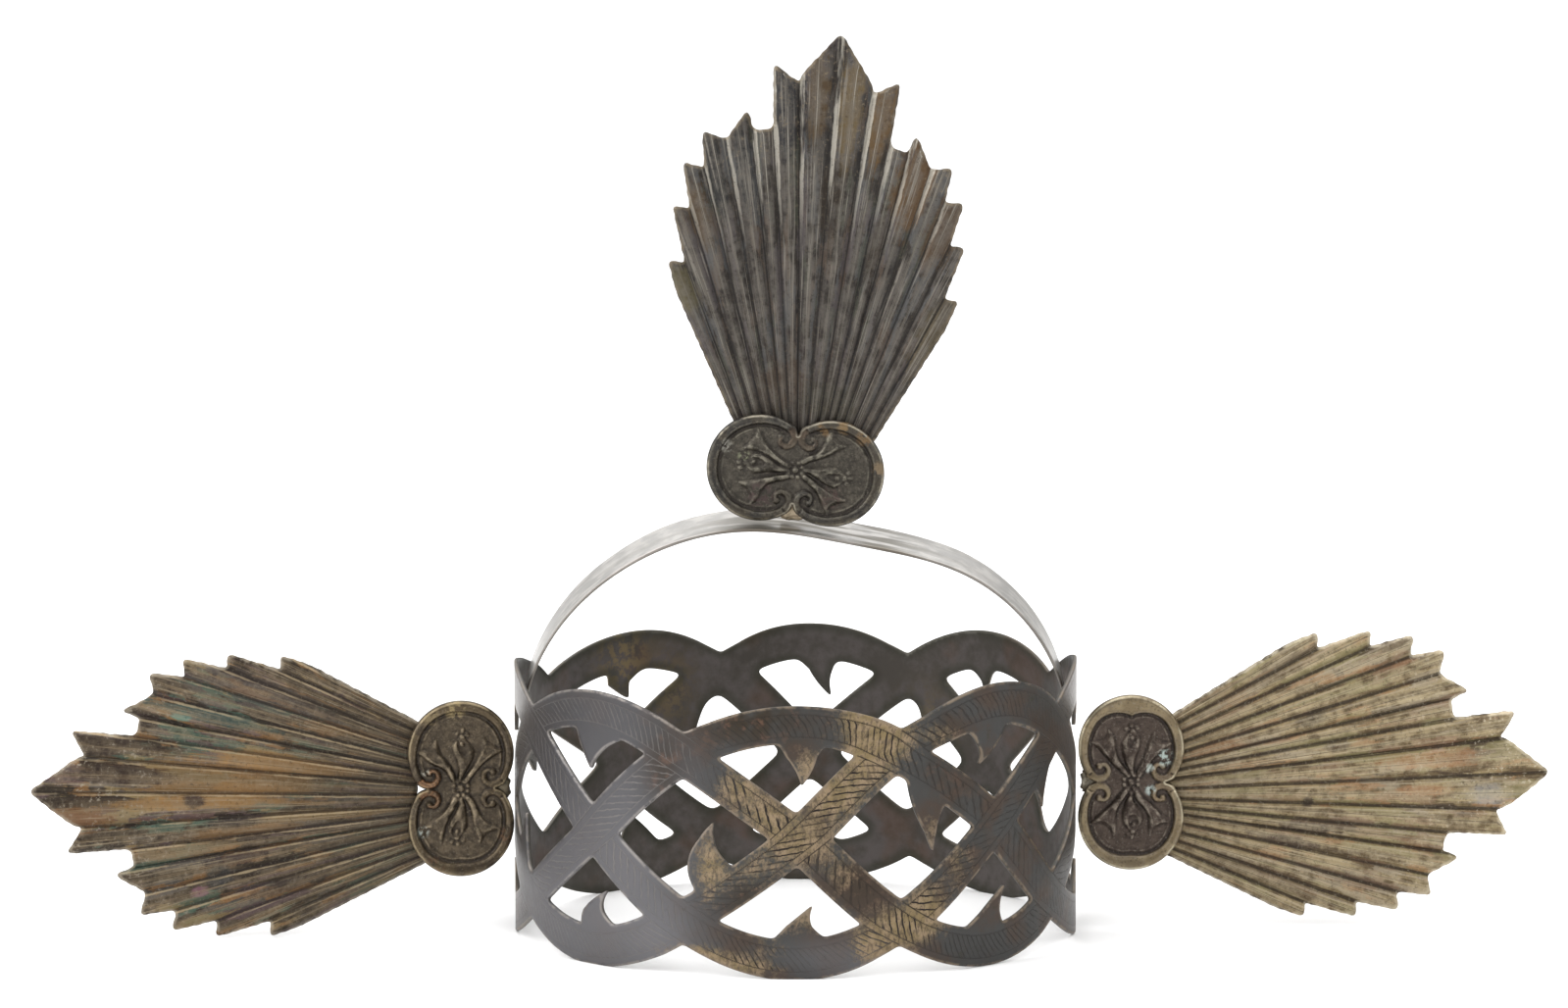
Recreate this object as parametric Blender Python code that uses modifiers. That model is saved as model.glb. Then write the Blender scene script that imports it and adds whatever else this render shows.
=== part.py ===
"""Silver crown of thorns with an arch and three rays, at real size in metres, Z up.

The front of the crown faces -Y and it stands on the lower lobes of its band.
Angles round the band start at the front and grow towards +X.
"""
import math

import bmesh
import bpy
from mathutils import Matrix, Vector

MM = 0.001

# Band: one pierced sheet bent to a ring, cut as four interlaced strands
BAND_RADIUS = 51.8 * MM
BAND_HEIGHT = 50.0 * MM
BAND_SHEET = 0.75 * MM
STRAND_WIDTH = 7.1 * MM
LOBES = 8
STRANDS = 4
WAVES = LOBES / STRANDS
FOOT_SHAVE = 0.15 * MM
BAND_STEPS = 64
RIM_STEPS = 80
CORNER_RADIUS = 0.8 * MM
CORNER_SHARE = 0.8
EDGE_SAMPLES = 7
THORN_STEPS = 3
THORN_CLEAR = 0.03

# How far the band's cutters, and its blank's upper edge, reach past the sheet
CUTTER_REACH = 5.0 * MM

# Arch: a plain strip over the crown, its feet inside the side lobes of the band. The
# round it is bent to would reach ARCH_TOP, but its top is pressed flatter and it leans
# forward about its feet.
ARCH_TOP = 78.6 * MM
ARCH_WIDTH = 15.0 * MM
ARCH_SHEET = 0.6 * MM
ARCH_LEAN = math.radians(7.0)
ARCH_SPRING = 38.0 * MM
ARCH_FOOT = 41.5 * MM
ARCH_DIP = 3.4 * MM
ARCH_DIP_PLACE = 12.0 * MM
ARCH_DIP_WIDTH = 20.0 * MM
ARCH_STEPS = 30

# Rays: fluted fans, measured from the point where their flutes would meet
RAY_LENGTH = 96.2 * MM
RAY_SHEET = 0.6 * MM
FLUTE_DEPTH = 1.3 * MM
FLUTE_TURNS = (0.0, 0.2, 0.75)
STATION_GAP = 0.15

# Cartouches: two rounds side by side, embossed, in front of the foot of each ray
ROUND_RADIUS = 9.75 * MM
ROUND_SPACING = 13.0 * MM
ROUND_POINTS = 12
CARTOUCHE_FIELD = 1.0 * MM

# Section of a cartouche's rim, from its back edge to its field: in from the edge, forward
RIM_SECTION = ((0.3, 0.0), (0.0, 0.7), (0.5, 1.9), (1.1, 2.1), (1.8, 1.8), (2.4, 1.0))

# Petals flare from the middle of a cartouche, round a boss
PETAL_START = 1.7 * MM
PETAL_LENGTH = 6.4 * MM
PETAL_TURNS = (-42, 0, 42)
PETAL_NARROW = 0.35 * MM
PETAL_WIDE = 1.15 * MM
PETAL_FLATNESS = 0.55
BOSS_RADIUS = 1.4 * MM
BOSS_FLATNESS = 0.65

# Tabs that carry the rays
TAB_WIDTH = 4.6 * MM
TAB_SHEET = 1.0 * MM
TAB_END = 1.5 * MM

# Solder joints are left as a thin gap, so that each piece stays a solid of its own
JOINT_GAP = 0.3 * MM
CARTOUCHE_GAP = 0.5 * MM

# How far the hand-cut pattern strays from an even one, in mm round the band and up.
# Each row starts at the front, or 22.5 degrees to the right of it for crossings.
TOP_LOBE_DRIFT = (
    (0, -0.9), (0, 1.1), (0, 0.6), (0, 0.2), (-3.0, -0.4), (-9.0, -0.5), (0, 0.0), (0, -0.3))
UPPER_CROSS_DRIFT = (
    (-2.6, 0.3), (-1.0, 0.6), (0, 0.3), (-2.8, 0.5), (-5.8, 0.8), (0, -1.6), (-0.6, 0.8), (-0.8, -0.4))
MID_CROSS_DRIFT = (
    (0.9, 0.3), (-0.7, 0.8), (0, 0.6), (0, 0), (-2.8, -0.2), (-5.0, 0), (0, 0.4), (0.6, -0.7))
LOWER_CROSS_DRIFT = (
    (-1.3, -0.5), (-3.5, 0.4), (0, 0), (-1.8, 0), (-4.5, -0.3), (0, 0), (-1.2, -0.4), (-1.0, 0.2))
LOW_LOBE_DRIFT = (
    (0, 0), (-3.0, 0.3), (-2.5, 0), (-3.0, 0), (-3.0, 0), (-3.0, 0), (-1.0, 0), (0, 0))

# Thorns, as shares of the half width and the height of the hole they grow into:
# middle of the base, width of the base, sideways lean of the tip, rise, and how far
# the left and right sides bow inwards.
TOP_THORNS = (
    (0.16, 0.66, -0.02, 0.58, 0.16, -0.12),
    (-0.12, 0.62, -0.15, 0.47, 0.28, -0.20),
    (0.10, 0.60, 0.10, 0.42, 0.08, 0.10),
    (0.13, 0.45, 0.00, 0.36, 0.08, 0.08),
    (-0.06, 0.60, -0.22, 0.56, 0.22, -0.14),
    (-0.02, 0.52, -0.18, 0.45, 0.08, -0.06),
    (-0.10, 0.60, 0.12, 0.42, 0.16, -0.10),
    (0.15, 0.86, -0.14, 0.50, -0.04, 0.20),
)
LOW_THORNS = (
    (0.10, 0.69, 0.18, 0.45, 0.00, 0.18),
    (-0.06, 0.70, 0.34, 0.50, 0.00, 0.16),
    (0.10, 0.60, -0.16, 0.44, 0.16, -0.10),
    (0.00, 0.64, 0.16, 0.44, 0.02, 0.12),
    (-0.12, 0.62, 0.10, 0.44, 0.10, 0.04),
    (-0.40, 0.62, 0.18, 0.52, -0.08, 0.00),
    (-0.10, 0.66, 0.20, 0.46, -0.10, 0.18),
    (0.13, 0.60, 0.20, 0.50, -0.26, 0.28),
)
# The thorns of the diamonds grow up from the floor or down from the ceiling
DIAMOND_THORNS = (
    ("ceiling", 0.36, 0.46, 0.03, 0.48, -0.16, 0.12),
    ("ceiling", -0.42, 0.34, -0.02, 0.26, 0.04, 0.06),
    ("floor", 0.36, 0.40, 0.02, 0.36, 0.06, 0.06),
    ("ceiling", -0.36, 0.40, 0.04, 0.28, 0.05, 0.05),
    ("ceiling", 0.42, 0.50, -0.10, 0.32, 0.05, 0.05),
    ("ceiling", 0.36, 0.40, -0.04, 0.28, 0.05, 0.05),
    ("floor", -0.30, 0.40, 0.05, 0.34, 0.06, 0.06),
    ("floor", 0.37, 0.41, -0.03, 0.47, -0.44, 0.26),
)

# Outline of one side of a ray: degrees from its middle, share of its length
RAY_OUTLINE = (
    (0.0, 1.000), (4.0, 0.918), (4.4, 0.898), (7.3, 0.933), (7.7, 0.811),
    (10.4, 0.809), (10.8, 0.848), (14.0, 0.794), (16.7, 0.817), (17.5, 0.747),
    (20.1, 0.767), (21.0, 0.678), (23.3, 0.694), (24.5, 0.584), (27.0, 0.601), (27.9, 0.540),
)
# Valleys between the flutes, in degrees from the middle of a ray
RAY_VALLEYS = (0.0, 4.3, 7.7, 10.5, 14.0, 17.5, 21.0, 24.5, 27.9)

# Turn of each cartouche from upright towards +X, height and depth of the middle of the
# side ones, and how far each pair of cartouche and ray is swung to the right
CARTOUCHE_TURN = {"left": math.radians(-90), "right": math.radians(90), "top": math.radians(5)}
CARTOUCHE_HEIGHT = {"left": 27.1 * MM, "right": 27.3 * MM}
CARTOUCHE_PLACE = {"left": -5.5 * MM, "right": 0.5 * MM}
SIDE_SWING = {"left": math.radians(7), "right": 0.0, "top": 0.0}

# Each ray: turn, place of the meeting point of its flutes from the middle of its
# cartouche (in mm to the right and up), size, share of the usual spread, how much longer
# and how much wider its right side is, and where its sheet starts
RAY_TURN = {"left": math.radians(-88.4), "right": math.radians(87.4), "top": math.radians(4.8)}
RAY_ORIGIN = {"left": (18.1, -2.0), "right": (-16.3, -2.6), "top": (0.2, -17.2)}
RAY_SCALE = {"left": 1.007, "right": 0.9735, "top": 1.009}
RAY_SPREAD = {"left": 0.9825, "right": 1.0365, "top": 1.005}
RAY_SKEW = {"left": -0.00039, "right": -0.00176, "top": -0.00122}
RAY_WIDER = {"left": -0.00024, "right": -0.00045, "top": -0.00064}
RAY_START = {"left": 26.8 * MM, "right": 22.4 * MM, "top": 23.5 * MM}

# How far the top ray stands in front of the arch's middle line
TOP_RAY_FORWARD = 1.2 * MM

SILVER_DARK = (0.105, 0.098, 0.100)
SILVER_BROWN = (0.145, 0.122, 0.095)
SILVER_TAN = (0.270, 0.235, 0.185)
SILVER_BRIGHT = (0.620, 0.600, 0.560)
SOLDER_TAN = (0.360, 0.310, 0.220)


# Sizes worked out from the ones above
STRAND_SWING = (BAND_HEIGHT - STRAND_WIDTH) / 2
BAND_MIDDLE = BAND_HEIGHT / 2 - FOOT_SHAVE
LOBE_ANGLE = math.tau / LOBES
BAND_INSIDE = BAND_RADIUS - BAND_SHEET


def side_distance(side):
    """Distance sideways from the band's axis to the middle of a side cartouche."""
    return math.sqrt(BAND_RADIUS ** 2 - CARTOUCHE_PLACE[side] ** 2) + JOINT_GAP + ROUND_RADIUS


def ring_shift():
    """Sideways place of the band's axis that puts the middle of the whole crown on x = 0."""
    reach = {}
    for side in ("left", "right"):
        beyond = RAY_LENGTH * RAY_SCALE[side] - abs(RAY_ORIGIN[side][0]) * MM
        reach[side] = side_distance(side) + beyond * math.cos(SIDE_SWING[side])
    return (reach["left"] - reach["right"]) / 2


# The pattern of the band

def strand_middle(angle, strand):
    """Height of a strand's centre line on the even pattern."""
    return BAND_MIDDLE + STRAND_SWING * math.cos(WAVES * angle - strand * math.tau / STRANDS)


def strand_edge(angle, strand, side):
    """Height of a strand's upper (side 1) or lower (side -1) edge."""
    phase = WAVES * angle - strand * math.tau / STRANDS
    slope = STRAND_SWING * WAVES / BAND_RADIUS * math.sin(phase)
    return strand_middle(angle, strand) + side * STRAND_WIDTH / 2 * math.hypot(1, slope)


def hole_ceiling(angle, strands):
    return min(strand_edge(angle, strand, -1) for strand in strands)


def hole_floor(angle, strands):
    return max(strand_edge(angle, strand, 1) for strand in strands)


def drift_row(angle, row, start):
    """Drift at an angle, blended smoothly between the two nearest entries of a row."""
    place = (angle - start) / LOBE_ANGLE
    first = math.floor(place)
    share = math.sin((place - first) * math.pi / 2) ** 2
    before = row[first % LOBES]
    after = row[(first + 1) % LOBES]
    return [(a + (b - a) * share) * MM for a, b in zip(before, after)]


def drifted(angle, height):
    """Place on the real, hand-cut sheet of a point of the even pattern."""
    crossing = STRAND_SWING * math.sqrt(0.5)
    half = LOBE_ANGLE / 2
    rows = (
        (BAND_MIDDLE - STRAND_SWING, LOW_LOBE_DRIFT, 0.0),
        (BAND_MIDDLE - crossing, LOWER_CROSS_DRIFT, half),
        (BAND_MIDDLE, MID_CROSS_DRIFT, 0.0),
        (BAND_MIDDLE + crossing, UPPER_CROSS_DRIFT, half),
        (BAND_MIDDLE + STRAND_SWING, TOP_LOBE_DRIFT, 0.0),
    )
    for lower, upper in zip(rows, rows[1:]):
        if height < upper[0] or upper is rows[-1]:
            break
    share = (height - lower[0]) / (upper[0] - lower[0])
    share = min(max(share, 0.0), 1.0)
    low = drift_row(angle, lower[1], lower[2])
    high = drift_row(angle, upper[1], upper[2])
    sideways, up = [a + (b - a) * share for a, b in zip(low, high)]
    return angle + sideways / BAND_RADIUS, height + up


def hole_reach(centre, direction, ceiling, floor):
    """Angle from a hole's centre to the corner where its ceiling meets its floor."""
    inside, outside = 0.0, LOBE_ANGLE
    for _ in range(40):
        middle = (inside + outside) / 2
        angle = centre + direction * middle
        if hole_ceiling(angle, ceiling) > hole_floor(angle, floor):
            inside = middle
        else:
            outside = middle
    return inside


def bowed_side(start, end, bow):
    """Points from start to end on a curve whose middle is pushed sideways by bow."""
    control = ((start[0] + end[0]) / 2 + bow, (start[1] + end[1]) / 2)
    points = []
    for step in range(1, THORN_STEPS):
        t = step / THORN_STEPS
        weights = ((1 - t) ** 2, 2 * t * (1 - t), t ** 2)
        points.append(tuple(
            weights[0] * start[i] + weights[1] * control[i] + weights[2] * end[i] for i in range(2)))
    return points


def edge_with_thorn(edge, centre, reach, height, thorn, direction):
    """Edge of a hole from left to right, with its thorn, if it has one."""
    last = EDGE_SAMPLES - 1
    shares = [math.sin((i / last - 0.5) * math.pi) for i in range(EDGE_SAMPLES)]
    angles = [centre + reach * share for share in shares]
    points = [(angle, edge(angle)) for angle in angles]
    if thorn is None:
        return points
    base, width, lean, rise, left_bow, right_bow = thorn
    left_angle = centre + reach * (base - width / 2)
    right_angle = centre + reach * (base + width / 2)
    left = (left_angle, edge(left_angle))
    right = (right_angle, edge(right_angle))
    tip_height = (left[1] + right[1]) / 2 + direction * rise * height
    tip = (centre + reach * (base + lean), tip_height)
    spine = [left]
    spine += bowed_side(left, tip, left_bow * reach)
    spine.append(tip)
    spine += bowed_side(tip, right, -right_bow * reach)
    spine.append(right)
    clear = THORN_CLEAR * reach
    before = [point for point in points if point[0] < left_angle - clear]
    after = [point for point in points if point[0] > right_angle + clear]
    return before + spine + after


def round_corner(before, corner, after):
    """Three points that cut a corner of a hole round."""
    scale = BAND_RADIUS
    here = Vector((corner[0] * scale, corner[1]))
    back = Vector((before[0] * scale, before[1])) - here
    ahead = Vector((after[0] * scale, after[1])) - here
    start = here + back.normalized() * min(CORNER_RADIUS, back.length * CORNER_SHARE)
    end = here + ahead.normalized() * min(CORNER_RADIUS, ahead.length * CORNER_SHARE)
    middle = start * 0.3 + here * 0.4 + end * 0.3
    return [(point[0] / scale, point[1]) for point in (start, middle, end)]


def hole_outline(centre, ceiling, floor, ceiling_thorn, floor_thorn):
    """Closed outline of one hole on the hand-cut sheet, as (angle, height) pairs."""
    reach = hole_reach(centre, 1, ceiling, floor)
    height = hole_ceiling(centre, ceiling) - hole_floor(centre, floor)
    top = edge_with_thorn(
        lambda angle: hole_ceiling(angle, ceiling), centre, reach, height, ceiling_thorn, -1)
    bottom = edge_with_thorn(
        lambda angle: hole_floor(angle, floor), centre, reach, height, floor_thorn, 1)
    bottom.reverse()
    left = round_corner(bottom[-2], top[0], top[1])
    right = round_corner(top[-2], top[-1], bottom[1])
    outline = left + top[1:-1] + right + bottom[1:-1]
    return [drifted(angle, level) for angle, level in outline]


def hole_outlines():
    """Outlines of the eight top holes, eight diamonds and eight bottom holes."""
    outlines = []
    for lobe in range(LOBES):
        centre = lobe * LOBE_ANGLE
        between = centre + LOBE_ANGLE / 2
        over, rising, under, falling = [(lobe + step) % STRANDS for step in range(STRANDS)]
        outlines.append(hole_outline(centre, (over,), (rising, falling), TOP_THORNS[lobe], None))
        outlines.append(hole_outline(centre, (rising, falling), (under,), None, LOW_THORNS[lobe]))
        grows_from, *thorn = DIAMOND_THORNS[lobe]
        ceiling_thorn = thorn if grows_from == "ceiling" else None
        floor_thorn = thorn if grows_from == "floor" else None
        outlines.append(hole_outline(between, (over, rising), (under, falling), ceiling_thorn, floor_thorn))
    return outlines


def rim_line(side):
    """Scalloped upper (side 1) or lower (side -1) edge of the whole sheet."""
    pick = max if side > 0 else min
    points = []
    for step in range(RIM_STEPS):
        angle = math.tau * step / RIM_STEPS
        level = pick(strand_edge(angle, strand, side) for strand in range(STRANDS))
        points.append(drifted(angle, level))
    return points


# Helpers that make Blender objects

def make_collection(name, hidden=False):
    collection = bpy.data.collections.new(name)
    bpy.context.scene.collection.children.link(collection)
    collection.hide_render = hidden
    return collection


def make_material(name, colour, roughness):
    material = bpy.data.materials.new(name)
    material.use_nodes = True
    shader = material.node_tree.nodes["Principled BSDF"]
    shader.inputs["Base Color"].default_value = (*colour, 1.0)
    shader.inputs["Roughness"].default_value = roughness
    shader.inputs["Metallic"].default_value = 1.0
    return material


def make_object(name, mesh_source, collection, material=None):
    """Object from a bmesh, which is freed."""
    mesh = bpy.data.meshes.new(name)
    mesh_source.to_mesh(mesh)
    mesh_source.free()
    obj = bpy.data.objects.new(name, mesh)
    collection.objects.link(obj)
    if material is not None:
        mesh.materials.append(material)
    return obj


def make_cutter(name, mesh_source):
    cutter = make_object(name, mesh_source, CUTTERS)
    cutter.hide_render = True
    cutter.display_type = "WIRE"
    return cutter


def cut(obj, cutter, operation="DIFFERENCE", solver="EXACT"):
    modifier = obj.modifiers.new(cutter.name, "BOOLEAN")
    modifier.object = cutter
    modifier.operation = operation
    modifier.solver = solver


def on_ring(angle, radius, height):
    return Vector((RING_X + radius * math.sin(angle), -radius * math.cos(angle), height))


def loft(mesh, rings, close_ends):
    """Closed shell of triangles through rings with the same number of points.

    The end rings are capped, or else the last ring is joined to the first.
    """
    rows = [[mesh.verts.new(point) for point in ring] for ring in rings]
    count = len(rows[0])
    pairs = list(zip(rows, rows[1:]))
    if not close_ends:
        pairs.append((rows[-1], rows[0]))
    for lower, upper in pairs:
        for i in range(count):
            j = (i + 1) % count
            mesh.faces.new((lower[i], lower[j], upper[j]))
            mesh.faces.new((lower[i], upper[j], upper[i]))
    if close_ends:
        caps = [mesh.faces.new(reversed(rows[0])), mesh.faces.new(rows[-1])]
        bmesh.ops.triangulate(mesh, faces=caps)
    shell = {face for row in rows for vertex in row for face in vertex.link_faces}
    volume = 0.0
    for face in shell:
        first, second, third = [vertex.co for vertex in face.verts]
        volume += first.dot(second.cross(third))
    if volume < 0:
        bmesh.ops.reverse_faces(mesh, faces=list(shell))


# The pieces

def build_band():
    """Turned blank, pierced by the holes and trimmed to its scalloped rims.

    Its two cutters hold many shells, which the exact solver leaves out now and then,
    so they are cut with the manifold solver.
    """
    blank_top = BAND_HEIGHT + CUTTER_REACH
    profile = bmesh.new()
    corners = (
        (BAND_RADIUS, blank_top), (BAND_RADIUS, 0.0), (BAND_INSIDE, 0.0), (BAND_INSIDE, blank_top))
    points = [profile.verts.new((radius, 0.0, height)) for radius, height in corners]
    for i, point in enumerate(points):
        profile.edges.new((point, points[(i + 1) % len(points)]))
    mesh = bpy.data.meshes.new("band")
    profile.to_mesh(mesh)
    profile.free()
    band = bpy.data.objects.new("band", mesh)
    CROWN.objects.link(band)
    band.location.x = RING_X
    mesh.materials.append(make_material("dark_silver", SILVER_DARK, 0.42))
    turn = band.modifiers.new("turn", "SCREW")
    turn.steps = BAND_STEPS
    turn.render_steps = BAND_STEPS
    turn.use_merge_vertices = True
    turn.merge_threshold = 0.00005

    inner = BAND_INSIDE - CUTTER_REACH
    outer = BAND_RADIUS + CUTTER_REACH
    holes = bmesh.new()
    for outline in hole_outlines():
        rings = [[on_ring(angle, radius, height) for angle, height in outline]
                 for radius in (inner, outer)]
        loft(holes, rings, close_ends=True)
    cut(band, make_cutter("band_holes", holes), solver="MANIFOLD")

    rims = bmesh.new()
    for side, far in ((1, blank_top + CUTTER_REACH), (-1, -CUTTER_REACH)):
        line = rim_line(side)
        rings = [
            [on_ring(angle, inner, height) for angle, height in line],
            [on_ring(angle, outer, height) for angle, height in line],
            [on_ring(angle, outer, far) for angle, height in line],
            [on_ring(angle, inner, far) for angle, height in line],
        ]
        loft(rims, rings, close_ends=False)
    cut(band, make_cutter("band_rims", rims), solver="MANIFOLD")


def arch_round():
    """Half width of the round that the arch is bent to, and the turn where it starts."""
    foot_reach = math.sqrt((BAND_INSIDE - JOINT_GAP) ** 2 - (ARCH_WIDTH / 2) ** 2)
    start = math.asin((ARCH_FOOT - ARCH_SPRING) / (ARCH_TOP - ARCH_SPRING))
    return foot_reach / math.cos(start), start


def arch_point(across, along):
    """Point of the arch's outer face, along being its distance back from the middle line."""
    reach, start = arch_round()
    level = ARCH_SPRING + (ARCH_TOP - ARCH_SPRING) * math.sqrt(1 - (across / reach) ** 2)
    level -= ARCH_DIP * math.exp(-((across - ARCH_DIP_PLACE) / ARCH_DIP_WIDTH) ** 2)
    rise = level - ARCH_FOOT
    depth = along * math.cos(ARCH_LEAN) - rise * math.sin(ARCH_LEAN)
    height = ARCH_FOOT + rise * math.cos(ARCH_LEAN) + along * math.sin(ARCH_LEAN)
    return Vector((RING_X + across, depth, height))


def build_arch():
    """Open strip from left foot to right foot, thickened inwards."""
    mesh = bmesh.new()
    reach, start = arch_round()
    rows = []
    for step in range(ARCH_STEPS + 1):
        turn = start + (math.pi - 2 * start) * step / ARCH_STEPS
        across = -reach * math.cos(turn)
        row = [mesh.verts.new(arch_point(across, side * ARCH_WIDTH / 2)) for side in (-1, 1)]
        rows.append(row)
    for before, after in zip(rows, rows[1:]):
        mesh.faces.new((before[0], after[0], after[1], before[1]))
    arch = make_object("arch", mesh, CROWN, make_material("bright_silver", SILVER_BRIGHT, 0.28))
    thicken = arch.modifiers.new("thicken", "SOLIDIFY")
    thicken.thickness = ARCH_SHEET
    thicken.offset = -1.0


def ray_reach(degrees, side):
    """Distance from the meeting point of the flutes to the cut edge of a ray."""
    turn = abs(degrees)
    for (turn_a, share_a), (turn_b, share_b) in zip(RAY_OUTLINE, RAY_OUTLINE[1:]):
        if turn <= turn_b:
            break
    share = share_a + (share_b - share_a) * (turn - turn_a) / (turn_b - turn_a)
    return RAY_LENGTH * RAY_SCALE[side] * share * (1 + RAY_SKEW[side] * degrees)


def flute_height(degrees):
    """Height of the fluted surface, from 0 in a valley to 1 on a ridge."""
    turn = abs(degrees)
    for low, high in zip(RAY_VALLEYS, RAY_VALLEYS[1:]):
        if turn <= high:
            break
    share = (turn - low) / (high - low)
    return 1.0 - abs(2 * share - 1) ** 3


def ray_stations():
    """Angles where the outline or the flutes of a ray turn, from left to right."""
    turns = {turn for turn, share in RAY_OUTLINE}
    for low, high in zip(RAY_VALLEYS, RAY_VALLEYS[1:]):
        turns.update(low + (high - low) * share for share in FLUTE_TURNS)
    ordered = sorted(turns)
    spread = [ordered[0]]
    for turn in ordered[1:]:
        if turn - spread[-1] > STATION_GAP:
            spread.append(turn)
    return [-turn for turn in reversed(spread[1:])] + spread


def cartouche_centre(side):
    """Middle of a cartouche, on the plane of its ray."""
    if side == "top":
        middle_line = arch_point(0.0, 0.0)
        return Vector((RING_X, middle_line.y - TOP_RAY_FORWARD, top_cartouche_height()))
    sign = -1 if side == "left" else 1
    across = RING_X + sign * side_distance(side)
    return Vector((across, CARTOUCHE_PLACE[side], CARTOUCHE_HEIGHT[side]))


def top_cartouche_height():
    """Height that stands the top cartouche just clear of the arch."""
    turn = Matrix.Rotation(CARTOUCHE_TURN["top"], 3, "Y")
    heights = []
    for point in double_round(ROUND_RADIUS, 0.0):
        offset = turn @ point
        heights.append(arch_point(offset.x, 0.0).z + JOINT_GAP - offset.z)
    return max(heights)


def swung(side):
    """World matrix of the middle of a cartouche, swung with its ray."""
    swing = Matrix.Rotation(SIDE_SWING[side], 4, "Z")
    return Matrix.Translation(cartouche_centre(side)) @ swing


def cartouche_frame(side):
    """World matrix of a cartouche: +Z runs outwards from its middle, -Y to the front."""
    return swung(side) @ Matrix.Rotation(CARTOUCHE_TURN[side], 4, "Y")


def ray_frame(side):
    """World matrix of a ray: +Z runs along it from the meeting point of its flutes."""
    across, up = RAY_ORIGIN[side]
    origin = swung(side) @ Matrix.Translation((across * MM, 0.0, up * MM))
    return origin @ Matrix.Rotation(RAY_TURN[side], 4, "Y")


def build_ray(side):
    """Fluted open sheet between its start and its cut tips, thickened to the back."""
    mesh = bmesh.new()
    rows = []
    full = RAY_LENGTH * RAY_SCALE[side]
    for degrees in ray_stations():
        turn = math.radians(degrees * (RAY_SPREAD[side] + RAY_WIDER[side] * degrees))
        row = []
        for distance in (RAY_START[side], ray_reach(degrees, side)):
            lift = FLUTE_DEPTH * flute_height(degrees) * distance / full
            row.append(mesh.verts.new((distance * math.sin(turn), -lift, distance * math.cos(turn))))
        rows.append(row)
    for before, after in zip(rows, rows[1:]):
        mesh.faces.new((before[0], after[0], after[1], before[1]))
    tone = {"left": SILVER_BROWN, "right": SILVER_TAN, "top": SILVER_DARK}[side]
    material = make_material("ray_silver_" + side, tone, 0.4)
    ray = make_object("ray_" + side, mesh, CROWN, material)
    ray.matrix_world = ray_frame(side)
    thicken = ray.modifiers.new("thicken", "SOLIDIFY")
    thicken.thickness = RAY_SHEET
    thicken.offset = -1.0


def double_round(radius, depth):
    """Outline of two rounds side by side, as points of a ring at one depth."""
    half = ROUND_SPACING / 2
    opening = math.acos(min(half / radius, 1.0))
    outline = []
    for side in (1, -1):
        for step in range(ROUND_POINTS):
            turn = (2 * step / (ROUND_POINTS - 1) - 1) * (math.pi - opening)
            across = side * (half + radius * math.cos(turn))
            along = side * radius * math.sin(turn)
            outline.append(Vector((across, depth, along)))
        outline.pop()
    return outline


def build_cartouche(side):
    """Two rounds with one raised rim, six petals and a boss on the sunk field."""
    mesh = bmesh.new()
    rings = [double_round(ROUND_RADIUS - inset * MM, -forward * MM) for inset, forward in RIM_SECTION]
    loft(mesh, rings, close_ends=True)
    tone = {"left": SILVER_BROWN, "right": SILVER_TAN, "top": SILVER_DARK}[side]
    cartouche = make_object(
        "cartouche_" + side, mesh, CROWN, make_material("cartouche_silver_" + side, tone, 0.45))
    cartouche.matrix_world = cartouche_frame(side) @ Matrix.Translation((0.0, CARTOUCHE_DEPTH, 0.0))
    petals = make_cutter("petals_" + side, petal_mesh())
    petals.matrix_world = cartouche.matrix_world
    cut(cartouche, petals, "UNION")


def petal_mesh():
    """Six flared petals round a middle boss, half sunk in the field."""
    mesh = bmesh.new()
    sink = Matrix.Translation((0.0, -CARTOUCHE_FIELD, 0.0))
    reach = Matrix.Translation((0.0, 0.0, PETAL_START + PETAL_LENGTH / 2))
    flat = Matrix.Diagonal((1.0, PETAL_FLATNESS, 1.0, 1.0))
    for side in (-90, 90):
        for turn in PETAL_TURNS:
            lay = Matrix.Rotation(math.radians(side + turn), 4, "Y")
            bmesh.ops.create_cone(
                mesh, cap_ends=True, segments=6, radius1=PETAL_NARROW, radius2=PETAL_WIDE,
                depth=PETAL_LENGTH, matrix=sink @ lay @ reach @ flat)
    low = Matrix.Diagonal((1.0, BOSS_FLATNESS, 1.0, 1.0))
    bmesh.ops.create_uvsphere(
        mesh, u_segments=8, v_segments=6, radius=BOSS_RADIUS, matrix=sink @ low)
    return mesh


def build_tab(side):
    """Short strip behind a cartouche that carries the ray on the band or the arch."""
    start = -ROUND_RADIUS
    if side == "top":
        spare = JOINT_GAP + TAB_WIDTH / 2 * math.sin(CARTOUCHE_TURN["top"])
        start = arch_point(0.0, 0.0).z + spare - top_cartouche_height()
    depth = CARTOUCHE_DEPTH + JOINT_GAP + TAB_SHEET / 2
    mesh = bmesh.new()
    size = Matrix.Diagonal((TAB_WIDTH, TAB_SHEET, TAB_END - start, 1.0))
    middle = Matrix.Translation((0.0, depth, (start + TAB_END) / 2))
    bmesh.ops.create_cube(mesh, size=1.0, matrix=middle @ size)
    tab = make_object("tab_" + side, mesh, CROWN, make_material("tab_silver_" + side, SOLDER_TAN, 0.5))
    tab.matrix_world = cartouche_frame(side)


# Back of a cartouche, in front of the flutes that it covers
CARTOUCHE_DEPTH = -FLUTE_DEPTH * RAY_START["left"] / RAY_LENGTH - CARTOUCHE_GAP
RING_X = ring_shift()

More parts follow.
